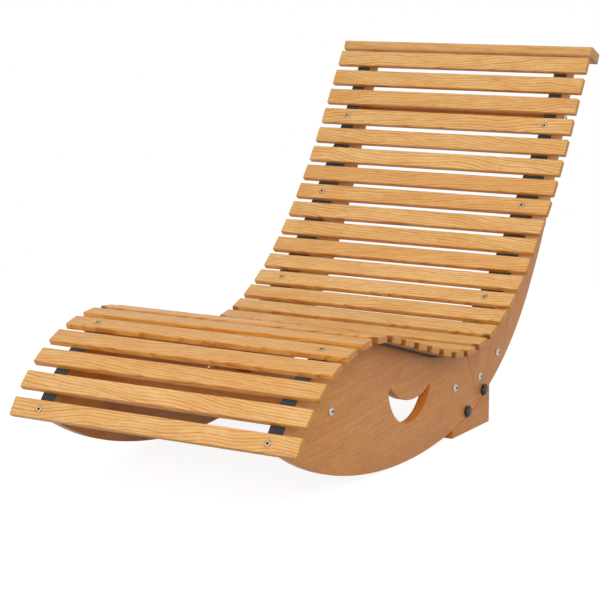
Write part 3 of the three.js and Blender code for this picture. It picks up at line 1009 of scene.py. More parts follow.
def slab_shell(outline: Array, radii: Array | float, low: float, high: float, steps: int = 5,
               hole: Array | None = None, ease: Pair = (1, 1)) -> Shell:
    """A board cut to an outline, standing across the lounge, with eased edges and maybe one hole.

    Formula: each ring is the outline moved in along its mitred normals by the arris's share of the radius, at the
    arris's depth from the face. A hole's rings move the other way. With a hole, each face is parted in two at the
    hole's ends, so that no face has an opening.

    Args:
        outline: closed outline in side view.
        radii: radius of the eased edge, one or one for each corner.
        low: place across of the lower face.
        high: place across of the upper face.
        steps: facets of the arris.
        hole: closed outline of an opening.
        ease: how much of the radius the lower and the upper face's arris has.

    Returns:
        The shell in metres.
    """
    outline = anticlockwise(outline)
    radii = np.broadcast_to(np.asarray(radii, float), len(outline))
    shares, _ = arris_steps(1.0, steps)
    depth_shares = 1 - np.sqrt(1 - (1 - shares) ** 2)

    def rings(curve: Array, radius: Array, sign: float) -> Array:
        """Rings of one outline.

        Args:
            curve: the outline.
            radius: its arris's radius at each corner.
            sign: 1 where the arris draws it in, -1 where it widens it, as at a hole.

        Returns:
            The rings from the lower face to the upper one.
        """
        normals = mitred_normals(curve)
        parts = []
        for face, way, share in ((low, 1, ease[0]), (high, -1, ease[1])):
            reach = radius * share
            flat = curve - sign * normals * reach[:, None] * shares[:, None, None]
            across = face + way * reach * depth_shares[:, None]
            parts.append(to_world(flat, across))
        return np.concatenate([parts[0], parts[1][::-1]])

    shell = Shell()
    outer = rings(outline, radii, 1)
    if hole is None:
        shell.add_rings(outer)
        return shell
    hole = anticlockwise(hole)
    first = shell.add_rings(outer, caps=False)
    inner_first = shell.add_rings(rings(hole, np.full(len(hole), radii.max()), -1), caps=False)
    ends = [int(np.argmin(hole[:, 0])), int(np.argmax(hole[:, 0]))]
    near = [int(np.argmin(np.linalg.norm(outline - hole[i], axis=1))) for i in ends]

    def between(count: int, start: int, stop: int) -> Array:
        """Numbers from start to stop round a closed ring, both kept."""
        return (start + np.arange((stop - start) % count + 1)) % count

    last = len(outer) - 1
    for row in (0, last):
        outer_row = first + row * len(outline)
        inner_row = inner_first + row * len(hole)
        lower = [*(outer_row + between(len(outline), near[0], near[1])),
                 *(inner_row + between(len(hole), ends[0], ends[1])[::-1])]
        upper = [*(outer_row + between(len(outline), near[1], near[0])),
                 *(inner_row + between(len(hole), ends[1], ends[0])[::-1])]
        for face in (lower, upper):
            shell.faces.append([int(i) for i in (face if row else face[::-1])])
    return shell


# Sub-assemblies


@dataclass
class SlatMat:
    """Thirty slats along the lying surface, and the screws that hold some of them to the boards.

    The bite is how far the slats' undersides lie under the line that the straps are placed by.
    """

    lines: SideLines
    wood: WoodFinish
    brass: MetalFinish
    count: int = 30
    width: float = 36
    thickness: float = 13
    foot_radius: float = 2.8
    head_radius: float = 2.2
    end_easing: float = 1.8
    bite: float = 1
    length: float = 600
    back_pitch: float = 48.6
    back_gaps: int = 11
    bend_gaps: int = 5
    last_inset: float = 4.8
    screwed: tuple[int, ...] = (4, 8, 13, 18, 22, 26, 30)
    screw_place: float = 239
    sawing: Sawing = Sawing((0.008, 0.035), (0.045, 0.10), (0.0, 0.05), (0.02, 0.10))
    first_seed: int = 101
    climb_gain: float = 10

    def runs(self) -> Array:
        """Runs of the slats' middles.

        Formula: the pitch keeps one value up the back, rises evenly through the bend, and keeps the value along the
        seat that brings the last slat to its inset from the nose.

        Returns:
            One run for each slat.
        """
        last = self.lines.nose_mat_run - self.last_inset
        seat_gaps = self.count - 1 - self.back_gaps - self.bend_gaps
        half_bend = self.bend_gaps / 2
        seat_pitch = (last - self.back_pitch * (self.back_gaps + half_bend)) / (seat_gaps + half_bend)
        share = np.clip((np.arange(1, self.count) - self.back_gaps) / (self.bend_gaps + 1), 0, 1)
        return np.concatenate([[0], np.cumsum(self.back_pitch + (seat_pitch - self.back_pitch) * share)])

    def rise(self, runs: Array) -> Array:
        """How far a flat slat's middle is above a hollow bed: hollow times width squared over eight."""
        edges = runs[:, None] + np.array([-self.width, self.width]) / 2
        return np.maximum(-self.lines.mat.bend_at(edges).min(1), 0) * self.width**2 / 8

    def shut_in(self, runs: Array) -> Array:
        """How shut in the gap after each slat is, which sets how much shade is painted on its sides.

        Formula: twice the share of the hip's hollow that the bed has at the slat, less one, or a gain times the
        climb of the bed towards the foot, whichever is more, held between 0 and 1.

        Args:
            runs: runs of the slats' middles.

        Returns:
            A share for each slat.
        """
        hollow = -self.lines.mat.bend_at(runs - self.width / 2) * self.lines.hip[0]
        climb = unit(self.lines.mat.at(runs)[1])[:, 1]
        return np.clip(np.maximum(2 * hollow - 1, climb * self.climb_gain), 0, 1)

    def build(self) -> None:
        """Makes the slats and the screws."""
        runs = self.runs()
        points, headings = self.lines.mat.at(runs)
        up = unit(headings - np.pi / 2)
        points = points + self.rise(runs)[:, None] * up
        self.build_slats(points, headings, self.shut_in(runs))
        self.build_screws(points + (self.thickness - self.bite) * up, up, unit(headings))

    def build_slats(self, points: Array, headings: Array, gaps: Array) -> None:
        """Makes the slats.

        Args:
            points: side-view points under the slats' middles.
            headings: the lying surface's headings there.
            gaps: how shut in the gap after each slat is, for the shade painted on its sides.
        """
        material = self.wood.material()
        board = Board(self.width, self.thickness, self.length / 2, self.foot_radius, self.head_radius, self.end_easing)
        for index, (point, tilt, gap) in enumerate(zip(points, headings - np.pi, gaps.tolist())):
            name = f"slat_{index + 1:02d}"
            shell = board.shell(point, tilt, -self.bite)
            piece = make_piece(f"{name}_board", shell, material, [name])
            across = np.array([0.0, *unit(tilt)])
            self.sawing.mark(piece, ACROSS_LOUNGE, across, self.first_seed + index, gap=gap)

    def build_screws(self, seats: Array, ups: Array, ways: Array) -> None:
        """Makes the screws of the slats that have them.

        Args:
            seats: side-view points on the middles of all the slats' tops.
            ups: the slats' upward directions.
            ways: the directions of their widths.
        """
        material = self.brass.material()
        head = Turning.slat_screw()
        for number in self.screwed:
            axes = ups[number - 1], ways[number - 1]
            for side in Side:
                shell = head.shell_on_slat(seats[number - 1], axes, side.value * self.screw_place)
                name = f"slat_screw_{number:02d}_{side.word}"
                head.mark(make_piece(name, shell, material))


@dataclass
class WebbingStraps:
    """Two webbing straps between the slats and the boards, narrow at both ends.

    The tapers are the numbers of the slats at which the strap starts and ends to widen, and then to narrow.
    """

    lines: SideLines
    webbing: WebbingFinish
    slat_runs: Array
    bite: float
    tapers: tuple[int, int, int, int] = (4, 7, 25, 28)
    thickness: float = 1.7
    narrow: float = 29.5
    wide: float = 49.5
    centre_inset: float = 11
    end_inset: float = 12.5
    spacing: float = 5
    edge_points: int = 7

    def width(self, runs: Array) -> Array:
        """Strap width.

        Formula: narrow to wide by a smooth step over the first taper, and back over the second.

        Args:
            runs: runs along the lying surface.

        Returns:
            The width at each run.
        """

        def step(low: float, high: float) -> Array:
            """Smooth step: three t squared minus two t cubed."""
            t = np.clip((runs - low) / (high - low), 0, 1)
            return t * t * (3 - 2 * t)

        widen_from, wide_from, narrow_from, narrow_at = self.slat_runs[np.array(self.tapers) - 1]
        share = step(widen_from, wide_from) * (1 - step(narrow_from, narrow_at))
        return self.narrow + (self.wide - self.narrow) * share

    def build(self) -> None:
        """Makes both straps.

        Formula: a section with half-round edges is carried along the lying surface, and each point keeps its run and
        its place across for the weave.
        """
        material = self.webbing.material()
        first, last = -self.end_inset, self.slat_runs[-1] + self.end_inset
        runs = np.linspace(first, last, int((last - first) / self.spacing))
        half = self.thickness / 2
        edge = half * unit(np.linspace(-np.pi / 2, np.pi / 2, self.edge_points))
        ring_across = np.concatenate([edge[:, 0], -edge[::-1, 0]])
        ring_up = np.concatenate([edge[:, 1], edge[::-1, 1]])
        sign = np.repeat([1.0, -1.0], self.edge_points)
        across = sign * (self.width(runs)[:, None] / 2 - half) + ring_across
        point, heading = self.lines.mat.at(runs)
        depth = self.bite + self.lines.clearance / 2 + half - ring_up
        flat = point[:, None] + depth[..., None] * unit(heading + np.pi / 2)[:, None]
        place = np.stack(np.broadcast_arrays(runs[:, None], across, ring_up), -1).reshape(-1, 3) / METRE
        for side in Side:
            centre = side.value * (self.lines.outer_face - self.centre_inset)
            shell = Shell()
            shell.add_rings(to_world(flat, centre + across))
            name = f"webbing_strap_{side.word}"
            piece = make_piece(f"{name}_weave", shell, material, [name])
            set_attribute(piece.data, "weave_place", Domain.POINT, place)


@dataclass
class SideBoards:
    """Front panels with their hand grips, and rear arms, parted by a slanting seam.

    The grain angles are degrees from the level, rising towards the head.
    """

    lines: SideLines
    wood: WoodFinish
    seam_mat_run: float = 724.7
    seam_rocker_run: float = 312
    seam_gap: float = 0.6
    nose_radius: float = 8
    edge_radius: float = 2
    seam_radius: float = 0.4
    grip_mat_run: float = 938.7
    grip_depth: float = 44.6
    grip_low_radius: float = 89
    grip_top_radius: float = 136
    grip_spacing: float = 91
    grip_lean: float = 9
    grip_tip_radius: float = 4
    grip_arc_points: int = 40
    grip_tip_points: int = 8
    nose_points: int = 12
    spacing: float = 7
    panel_grain: float = 3.6
    panel_sawing: Sawing = Sawing((0.05, 0.09), (0.02, 0.09), (0.0, 0.02), (0.01, 0.04), (-0.4, 0.4))
    panel_seeds: tuple[int, int] = (10, 12)
    arm_grain: float = 60
    arm_sawing: Sawing = Sawing((0.03, 0.07), (0.01, 0.05), (0.01, 0.03), (0.0, 0.02), (-0.4, 0.4))
    arm_seeds: tuple[int, int] = (12, 14)

    def runs(self, start: float, stop: float) -> Array:
        """Evenly spaced runs between two, both kept."""
        return np.linspace(start, stop, max(int(abs(stop - start) / self.spacing), 2))

    def seam(self) -> tuple[Array, Array]:
        """The seam's upper end and its direction down to the underside."""
        top, foot = self.lines.board_top(self.seam_mat_run), self.lines.rocker.at(self.seam_rocker_run)[0]
        return top, (foot - top) / np.linalg.norm(foot - top)

    def seam_steps(self) -> Pair:
        """How far along each line the seam's two sides are from its middle.

        Formula: half the gap over the sine of the angle between the line and the seam.

        Returns:
            The steps along the top edge and along the underside.
        """
        _, seam = self.seam()
        steps = []
        for line, run in ((self.lines.mat, self.seam_mat_run), (self.lines.rocker, self.seam_rocker_run)):
            way = unit(line.at(run)[1])
            steps.append(self.seam_gap / 2 / abs(way[0] * seam[1] - way[1] * seam[0]))
        return steps[0], steps[1]

    def panel_outline(self) -> Array:
        """Front panel.

        Formula: the top edge from the seam to the nose, a quadratic curve round the nose's corner, and back along
        the underside.

        Returns:
            The closed outline.
        """
        lines = self.lines
        mat_step, rocker_step = self.seam_steps()
        top_runs = self.runs(self.seam_mat_run + mat_step, lines.nose_mat_run - self.nose_radius)
        low_runs = self.runs(lines.nose_rocker_run + self.nose_radius, self.seam_rocker_run - rocker_step)
        top, low = lines.board_top(top_runs), lines.rocker.at(low_runs)[0]
        nose = quadratic(top[-1], lines.nose, low[0], self.nose_points)[1:-1]
        return np.concatenate([top, nose, low])

    def arm_outline(self) -> Array:
        """Rear arm.

        Formula: the top edge from the cap rail to the seam, then the underside from the seam to the cap rail.

        Returns:
            The closed outline.
        """
        lines = self.lines
        mat_step, rocker_step = self.seam_steps()
        top = lines.board_top(self.runs(-lines.head_run, self.seam_mat_run - mat_step))
        low = lines.rocker.at(self.runs(self.seam_rocker_run + rocker_step, lines.rocker.length))[0]
        return np.concatenate([top, low])

    def grip_outline(self) -> Array:
        """Crescent grip.

        Formula: a lower arc and a flatter upper arc about centres one spacing apart, joined at both tips by small
        arcs about the points that are one tip radius inside both.

        Returns:
            The closed outline.
        """
        low = self.lines.mat.beside(self.grip_mat_run, self.lines.strap_bed + self.grip_depth)
        top = low + self.grip_spacing * unit(np.pi / 2 - np.radians(self.grip_lean))
        tip = self.grip_tip_radius
        radii = self.grip_low_radius - tip, self.grip_top_radius + tip
        tips = [circle_crossing(low, radii[0], top, radii[1], side) for side in (1, -1)]
        low_angles = [np.arctan2(*(point - low)[::-1]) for point in tips]
        top_angles = [np.arctan2(*(point - top)[::-1]) % TURN for point in tips]

        def arc(centre: Array, radius: float, start: float, stop: float, count: int) -> Array:
            """Evenly spaced points of an arc."""
            return centre + radius * unit(np.linspace(start, stop, count))

        return np.concatenate([
            arc(low, self.grip_low_radius, low_angles[0], low_angles[1], self.grip_arc_points),
            arc(tips[1], tip, low_angles[1], top_angles[1] - np.pi, self.grip_tip_points)[1:-1],
            arc(top, self.grip_top_radius, top_angles[1], top_angles[0], self.grip_arc_points),
            arc(tips[0], tip, top_angles[0] - np.pi, low_angles[0], self.grip_tip_points)[1:-1],
        ])

    def edge_radii(self, outline: Array) -> Array:
        """Edge radius of each corner of an outline.

        Formula: the seam's radius where the corner's distance from the seam's line is under the gap, and the usual
        one elsewhere.

        Args:
            outline: the closed outline.

        Returns:
            The radii, in anticlockwise order.
        """
        top, way = self.seam()
        off = (anticlockwise(outline) - top) @ np.array([-way[1], way[0]])
        return np.where(np.abs(off) < self.seam_gap, self.seam_radius, self.edge_radius)

    def build(self) -> None:
        """Makes the four boards."""
        material = self.wood.material()
        panel = self.panel_sawing, self.panel_grain, self.panel_seeds
        arm = self.arm_sawing, self.arm_grain, self.arm_seeds
        kinds = [
            ("front_panel", self.panel_outline(), self.grip_outline(), *panel),
            ("rear_arm", self.arm_outline(), None, *arm),
        ]
        for kind, outline, hole, sawing, grain, seeds in kinds:
            for side, seed in zip(Side, seeds):
                faces = sorted([side.value * self.lines.inner_face, side.value * self.lines.outer_face])
                shell = slab_shell(outline, self.edge_radii(outline), *faces, hole=hole)
                name = f"{kind}_{side.word}"
                piece = make_piece(f"{name}_board", shell, material, [name])
                sawing.mark(piece, *grain_axes(grain), seed)


@dataclass
class StopPlates:
    """Plates across the seam on the boards' inner faces, each with a foot that steps out under the boards."""

    lines: SideLines
    wood: WoodFinish
    thickness: float = 22
    depth: float = 100
    front_run: float = 190
    rear_run: float = 368.7
    corner_radius: float = 14
    foot_gap: float = 0.8
    edge_radius: float = 1.5
    foot_points: int = 28
    grain: float = 14
    sawing: Sawing = Sawing((0.03, 0.06), (0.01, 0.04), (0.0, 0.02), (0.0, 0.03), (-0.2, 0.6))
    seeds: tuple[int, int] = (40, 42)

    def foot_outline(self) -> Array:
        """Foot.

        Formula: the underside's line moved down by the gap, then the ground.

        Returns:
            The closed outline.
        """
        runs = np.linspace(self.front_run, self.rear_run, self.foot_points)
        top = self.lines.rocker.beside(runs, -self.foot_gap)
        return np.concatenate([top, [[top[-1, 0], 0.0], [top[0, 0], 0.0]]])

    def plate_outline(self) -> Array:
        """Plate.

        Formula: up from the ground at both runs to the depth over the underside, with round upper corners.

        Returns:
            The closed outline.
        """
        front, rear = (self.lines.rocker.beside(run, -self.foot_gap) for run in (self.front_run, self.rear_run))
        top_front, top_rear = (self.lines.rocker.beside(run, self.depth) for run in (self.front_run, self.rear_run))
        return np.concatenate([
            [[front[0], 0.0], [rear[0], 0.0], rear],
            rounded_corner(rear, top_rear, top_front, self.corner_radius),
            rounded_corner(top_rear, top_front, front, self.corner_radius),
            [front],
        ])

    def build(self) -> None:
        """Makes both plates. The foot's block meets the plate flat, so that they read as one piece of wood."""
        material = self.wood.material()
        outer = self.lines.inner_face - self.lines.clearance
        for side, seed in zip(Side, self.seeds):
            sign = side.value
            plate_faces = sorted([sign * (outer - self.thickness), sign * outer])
            foot_faces = sorted([sign * outer, sign * self.lines.outer_face])
            plate_ease, foot_ease = ((1, 0), (0, 1)) if side is Side.RIGHT else ((0, 1), (1, 0))
            shell = slab_shell(self.plate_outline(), self.edge_radius, *plate_faces, ease=plate_ease)
            shell.add_shell(slab_shell(self.foot_outline(), self.edge_radius, *foot_faces, ease=foot_ease))
            name = f"stop_plate_{side.word}"
            piece = make_piece(f"{name}_block", shell, material, [name])
            self.sawing.mark(piece, *grain_axes(self.grain), seed)


@dataclass(frozen=True)
class CrossRail:
    """A rail that holds the side boards apart.

    Its bolts are at a run along the underside and an inset from it, and its middle may be above them. A rail that
    isn't upright stands square to the underside.
    """

    name: str
    run: float
    inset: float
    height: float
    rise: float = 0.0
    upright: bool = True


CROSS_RAILS = (
    CrossRail("front_cross_rail", -339.4, 109.4, 86, rise=4.5),
    CrossRail("lower_back_cross_rail", 433.1, 33.0, 58),
    CrossRail("upper_back_cross_rail", 1011.9, 10.0, 58, upright=False),
)


@dataclass
class Rails:
    """The cap rail at the head and the three rails that hold the side boards apart."""

    lines: SideLines
    cap_wood: WoodFinish
    frame_wood: WoodFinish
    thickness: float = 20
    easing: float = 1.5
    end_easing: float = 0.6
    easing_steps: int = 4
    cap_length: float = 600
    cap_depth: float = 50
    cap_thickness: float = 23.0
    cap_overhang: float = 10.9
    cap_nose: float = 8.5
    cap_rear_radius: float = 2.0
    cap_end_easing: float = 1.5
    cap_steps: int = 8
    cap_seed: int = 71
    cap_tone: float = -0.2
    first_seed: int = 81
    sawing: Sawing = Sawing((0.012, 0.05), (0.0, 0.03), (0.02, 0.07), (0.0, 0.03), (-0.5, 0.5))

    def build(self) -> None:
        """Makes the four rails."""
        self.build_cap()
        self.build_cross_rails()

    def build_cap(self) -> None:
        """Makes the cap rail, which lies on the arms' sloping tops and stands out over their front edge."""
        tilt = -np.radians(self.lines.cap_tilt)
        cap = Board(self.cap_depth, self.cap_thickness, self.cap_length / 2, self.cap_nose, self.cap_rear_radius,
                    self.cap_end_easing, self.cap_steps)
        base = self.lines.arm_front + (self.cap_depth / 2 - self.cap_overhang) * unit(tilt)
        shell = cap.shell(base, tilt, self.lines.clearance)
        piece = make_piece("top_rail_board", shell, self.cap_wood.material(), ["top_rail"])
        self.sawing.mark(piece, ACROSS_LOUNGE, np.array([0.0, *unit(tilt)]), self.cap_seed, self.cap_tone)

    def build_cross_rails(self) -> None:
        """Makes the three rails between the boards."""
        material, slot = self.frame_wood.material(), self.frame_wood.slot
        half = self.lines.inner_face - self.lines.clearance
        for index, place in enumerate(CROSS_RAILS):
            rail = Board(self.thickness, place.height, half, self.easing, self.easing, self.end_easing,
                         self.easing_steps)
            centre = self.lines.rocker.beside(place.run, place.inset)
            tilt = 0.0 if place.upright else float(self.lines.rocker.at(place.run)[1] - np.pi / 2)
            shell = rail.shell(centre, tilt, place.rise - place.height / 2)
            piece = make_piece(f"{place.name}_board", shell, material, [place.name])
            across = np.array([0.0, *unit(tilt + np.pi / 2)])
            self.sawing.mark(piece, ACROSS_LOUNGE, across, self.first_seed + index)


@dataclass
class Turning:
    """A piece turned about an axis, some of its rings drawn out to a hexagon.

    Each row of the profile holds a radius, a height over the face and the share of the hexagon in that ring. The
    painted shade rings are the numbers of those in sockets and under the rim, which are painted dark as shade.
    """

    rows: list[tuple[float, float, float]]
    sunk: tuple[int, ...] = ()
    places: int = 48

    def mark(self, piece: bpy.types.Object) -> None:
        """Marks the points of the rings that get painted shade, 1 there and 0 on the rest of the piece.

        Args:
            piece: the piece, whose first points are this turning's rings.
        """
        sunk = np.zeros(len(piece.data.vertices))
        rings = np.isin(np.arange(len(self.rows)), self.sunk)
        sunk[:len(self.rows) * self.places] = np.repeat(rings, self.places)
        set_attribute(piece.data, "sunk", Domain.POINT, sunk)

    @classmethod
    def slat_screw(cls) -> "Turning":
        """Low round screw head with a bright rim and a hexagonal socket, shade painted in the socket and in a ring
        round the head's foot.

        Returns:
            The turning.
        """
        return cls([
            (2.0, -8, 0), (2.0, 0.05, 0), (6.5, 0.05, 0), (6.7, 0.3, 0), (6.3, 0.45, 0), (5.9, 0.5, 0), (5.8, 0.9, 0),
            (5.3, 1.3, 0), (4.2, 1.45, 0), (3.4, 1.4, 0), (2.9, 1.2, 0.6), (2.7, 1.0, 1), (2.6, 0.35, 1),
            (2.3, 0.25, 1),
        ], sunk=(0, 1, 2, 3, 4, 11, 12, 13))

    @classmethod
    def domed_bolt(cls, length: float, clearance: float, radius: float = 7.75, height: float = 4.5,
                   rim: float = 0.8) -> "Turning":
        """Domed bolt with a socket, with shade painted in the socket.

        Formula: the dome is a circle through the rim and the crown, whose radius is the rim's radius squared plus the
        rise squared over twice the rise.

        Args:
            length: the shank's length under the board's face.
            clearance: how far the head is off the face.
            radius: radius of the head.
            height: height of the head.
            rim: height of the head's straight rim.

        Returns:
            The turning.
        """
        rise = height - rim
        crown = (radius**2 + rise**2) / (2 * rise)
        dome_radii = np.linspace(radius, 3.3, 12)
        dome = rim + rise - crown + np.sqrt(crown**2 - dome_radii**2) + clearance
        mouth = float(dome[-1])
        return cls([
            (2.0, -length, 0), (3.0, 1.0 - length, 0), (3.0, clearance, 0), (radius - 0.25, clearance, 0),
            (radius, clearance + 0.25, 0), *[(r, h, 0) for r, h in zip(dome_radii.tolist(), dome.tolist())],
            (3.05, mouth - 0.15, 0.5), (2.85, mouth - 0.5, 1), (2.85, mouth - 2.6, 1), (2.3, mouth - 2.9, 1),
        ], sunk=(18, 19, 20))

    @classmethod
    def hexagonal_cap(cls, length: float, clearance: float) -> "Turning":
        """Cap with six flats, a rounded shoulder and a low crown, on a shank.

        Args:
            length: the shank's length under the board's face.
            clearance: how far the cap is off the face.

        Returns:
            The turning.
        """
        return cls([
            (2.0, -length, 0), (3.0, 1.0 - length, 0), (3.0, clearance, 0), (11.4, clearance, 1), (12.0, 0.9, 1),
            (12.0, 4.6, 1), (11.75, 5.4, 0.95), (11.2, 6.3, 0.8), (10.5, 7.1, 0.55), (9.6, 7.9, 0.25),
            (8.6, 8.5, 0.05), (7.4, 8.95, 0), (6.0, 9.2, 0), (4.2, 9.3, 0), (2.0, 9.3, 0),
        ])

    @classmethod
    def nut(cls, near: float, far: float, across_flats: float) -> "Turning":
        """Hexagonal nut with eased corners.

        Args:
            near: height of its face on the plate.
            far: height of its other face.
            across_flats: its width over two flats.

        Returns:
            The turning.
        """
        corner, chamfer, face_share = across_flats / np.sqrt(3), 0.6, 0.87
        return cls([
            (corner * face_share, far, 0), (corner, far + chamfer, 1),
            (corner, near - chamfer, 1), (corner * face_share, near, 0),
        ])

    def rings(self) -> tuple[Array, Array]:
        """Radii and heights.

        Formula: a hexagon's radius at an angle is the corner radius times cosine 30 degrees over the cosine of the
        angle from the nearest flat's middle, and each ring mixes the circle and the hexagon by its share.

        Returns:
            The radii by ring and place, and the heights by ring.
        """
        radius, height, share = np.array(self.rows, float).T
        angle = self.angles()
        hexagon = np.cos(np.pi / 6) / np.cos(angle % (np.pi / 3) - np.pi / 6)
        return radius[:, None] * (1 + share[:, None] * (hexagon - 1)), height

    def angles(self) -> Array:
        """Angles of the places on a ring."""
        return np.arange(self.places) * TURN / self.places

    def add_across(self, shell: Shell, centre: Array, face: float, sign: int) -> None:
        """Adds the turning to a shell, about a line across the lounge.

        Args:
            shell: the shell to add to.
            centre: side-view point of the axis.
            face: place across from which the heights count.
            sign: 1 where heights go to the right, -1 where they go to the left.
        """
        radius, height = self.rings()
        flat = centre + radius[..., None] * unit(self.angles())
        shell.add_rings(to_world(flat, (sign * (face + height))[:, None]))

    def shell_on_slat(self, seat: Array, axes: tuple[Array, Array], across: float) -> Shell:
        """The turning standing on a slat's top.

        Formula: height runs along the slat's upward direction, and the ring lies in the slat's width and across.

        Args:
            seat: side-view point on the slat's top.
            axes: the slat's upward and width directions in side view.
            across: place across the lounge.

        Returns:
            The shell.
        """
        radius, height = self.rings()
        ring = radius[..., None] * unit(self.angles())
        flat = seat + height[:, None, None] * axes[0] + ring[..., :1] * axes[1]
        shell = Shell()
        shell.add_rings(to_world(flat, across + ring[..., 1]))
        return shell


@dataclass
class Hardware:
    """Domed bolts into the rails and through the stop plates, and capped bolts at the foot of the plates.

    A row of the plates' bolts is the end that it is at, its run along the underside and its inset from it.
    """

    lines: SideLines
    zinc: MetalFinish
    cap: CapFinish
    rail_grip: float = 42
    plate_thickness: float = 22
    nut_thickness: float = 5
    nut_proud: float = 3
    nut_across: float = 10
    plate_bolts: tuple[tuple[str, float, float], ...] = (("front", 215.8, 81.9), ("rear", 337.3, 45.4))
    knob_bolts: tuple[tuple[str, float, float], ...] = (("front", 256.5, 11.5), ("rear", 339.2, 11.2))

    def build(self) -> None:
        """Makes the bolts of both sides, each with its nut where it goes through a plate.

        Formula: a bolt through a plate is as long as the board, the plate, both clearances, the nut and the tip that
        stands proud of it.
        """
        zinc, black = self.zinc.material(), self.cap.material()
        clearance = self.lines.clearance
        plate_back = self.lines.board_thickness + clearance * 2 + self.plate_thickness
        length = plate_back + self.nut_thickness + self.nut_proud
        nut = Turning.nut(-plate_back, -plate_back - self.nut_thickness, self.nut_across)
        rail_bolt = Turning.domed_bolt(self.rail_grip, clearance)
        plate_bolt = Turning.domed_bolt(length, clearance)
        knob_bolt = Turning.hexagonal_cap(length, clearance)
        for rail in CROSS_RAILS:
            self.bolt_pair(f"{rail.name}_bolt", (rail.run, rail.inset), [rail_bolt], zinc)
        for name, *place in self.plate_bolts:
            self.bolt_pair(f"plate_bolt_{name}", place, [plate_bolt, nut], zinc)
        for name, *place in self.knob_bolts:
            self.bolt_pair(f"knob_bolt_{name}", place, [knob_bolt, nut], black)

    def bolt_pair(self, name: str, place: Sequence[float], turnings: Sequence[Turning], material: bpy.types.Material) -> None:
        """Makes one bolt on each side.

        Args:
            name: the bolt's name without its side.
            place: its run along the underside and its inset from it.
            turnings: the bolt, and its nut if it has one.
            material: its finish.
        """
        centre = self.lines.rocker.beside(*place)
        for side in Side:
            shell = Shell()
            for turning in turnings:
                turning.add_across(shell, centre, self.lines.outer_face, side.value)
            node = f"{name}_{side.word}"
            turnings[0].mark(make_piece(f"{node}_turned", shell, material, [node]))


# Studio


@dataclass(frozen=True)
class Lamp:
    """A square soft lamp that looks at a point, in metres and watts."""

    name: str
    place: Triple
    aim: Triple
    size: float
    power: float


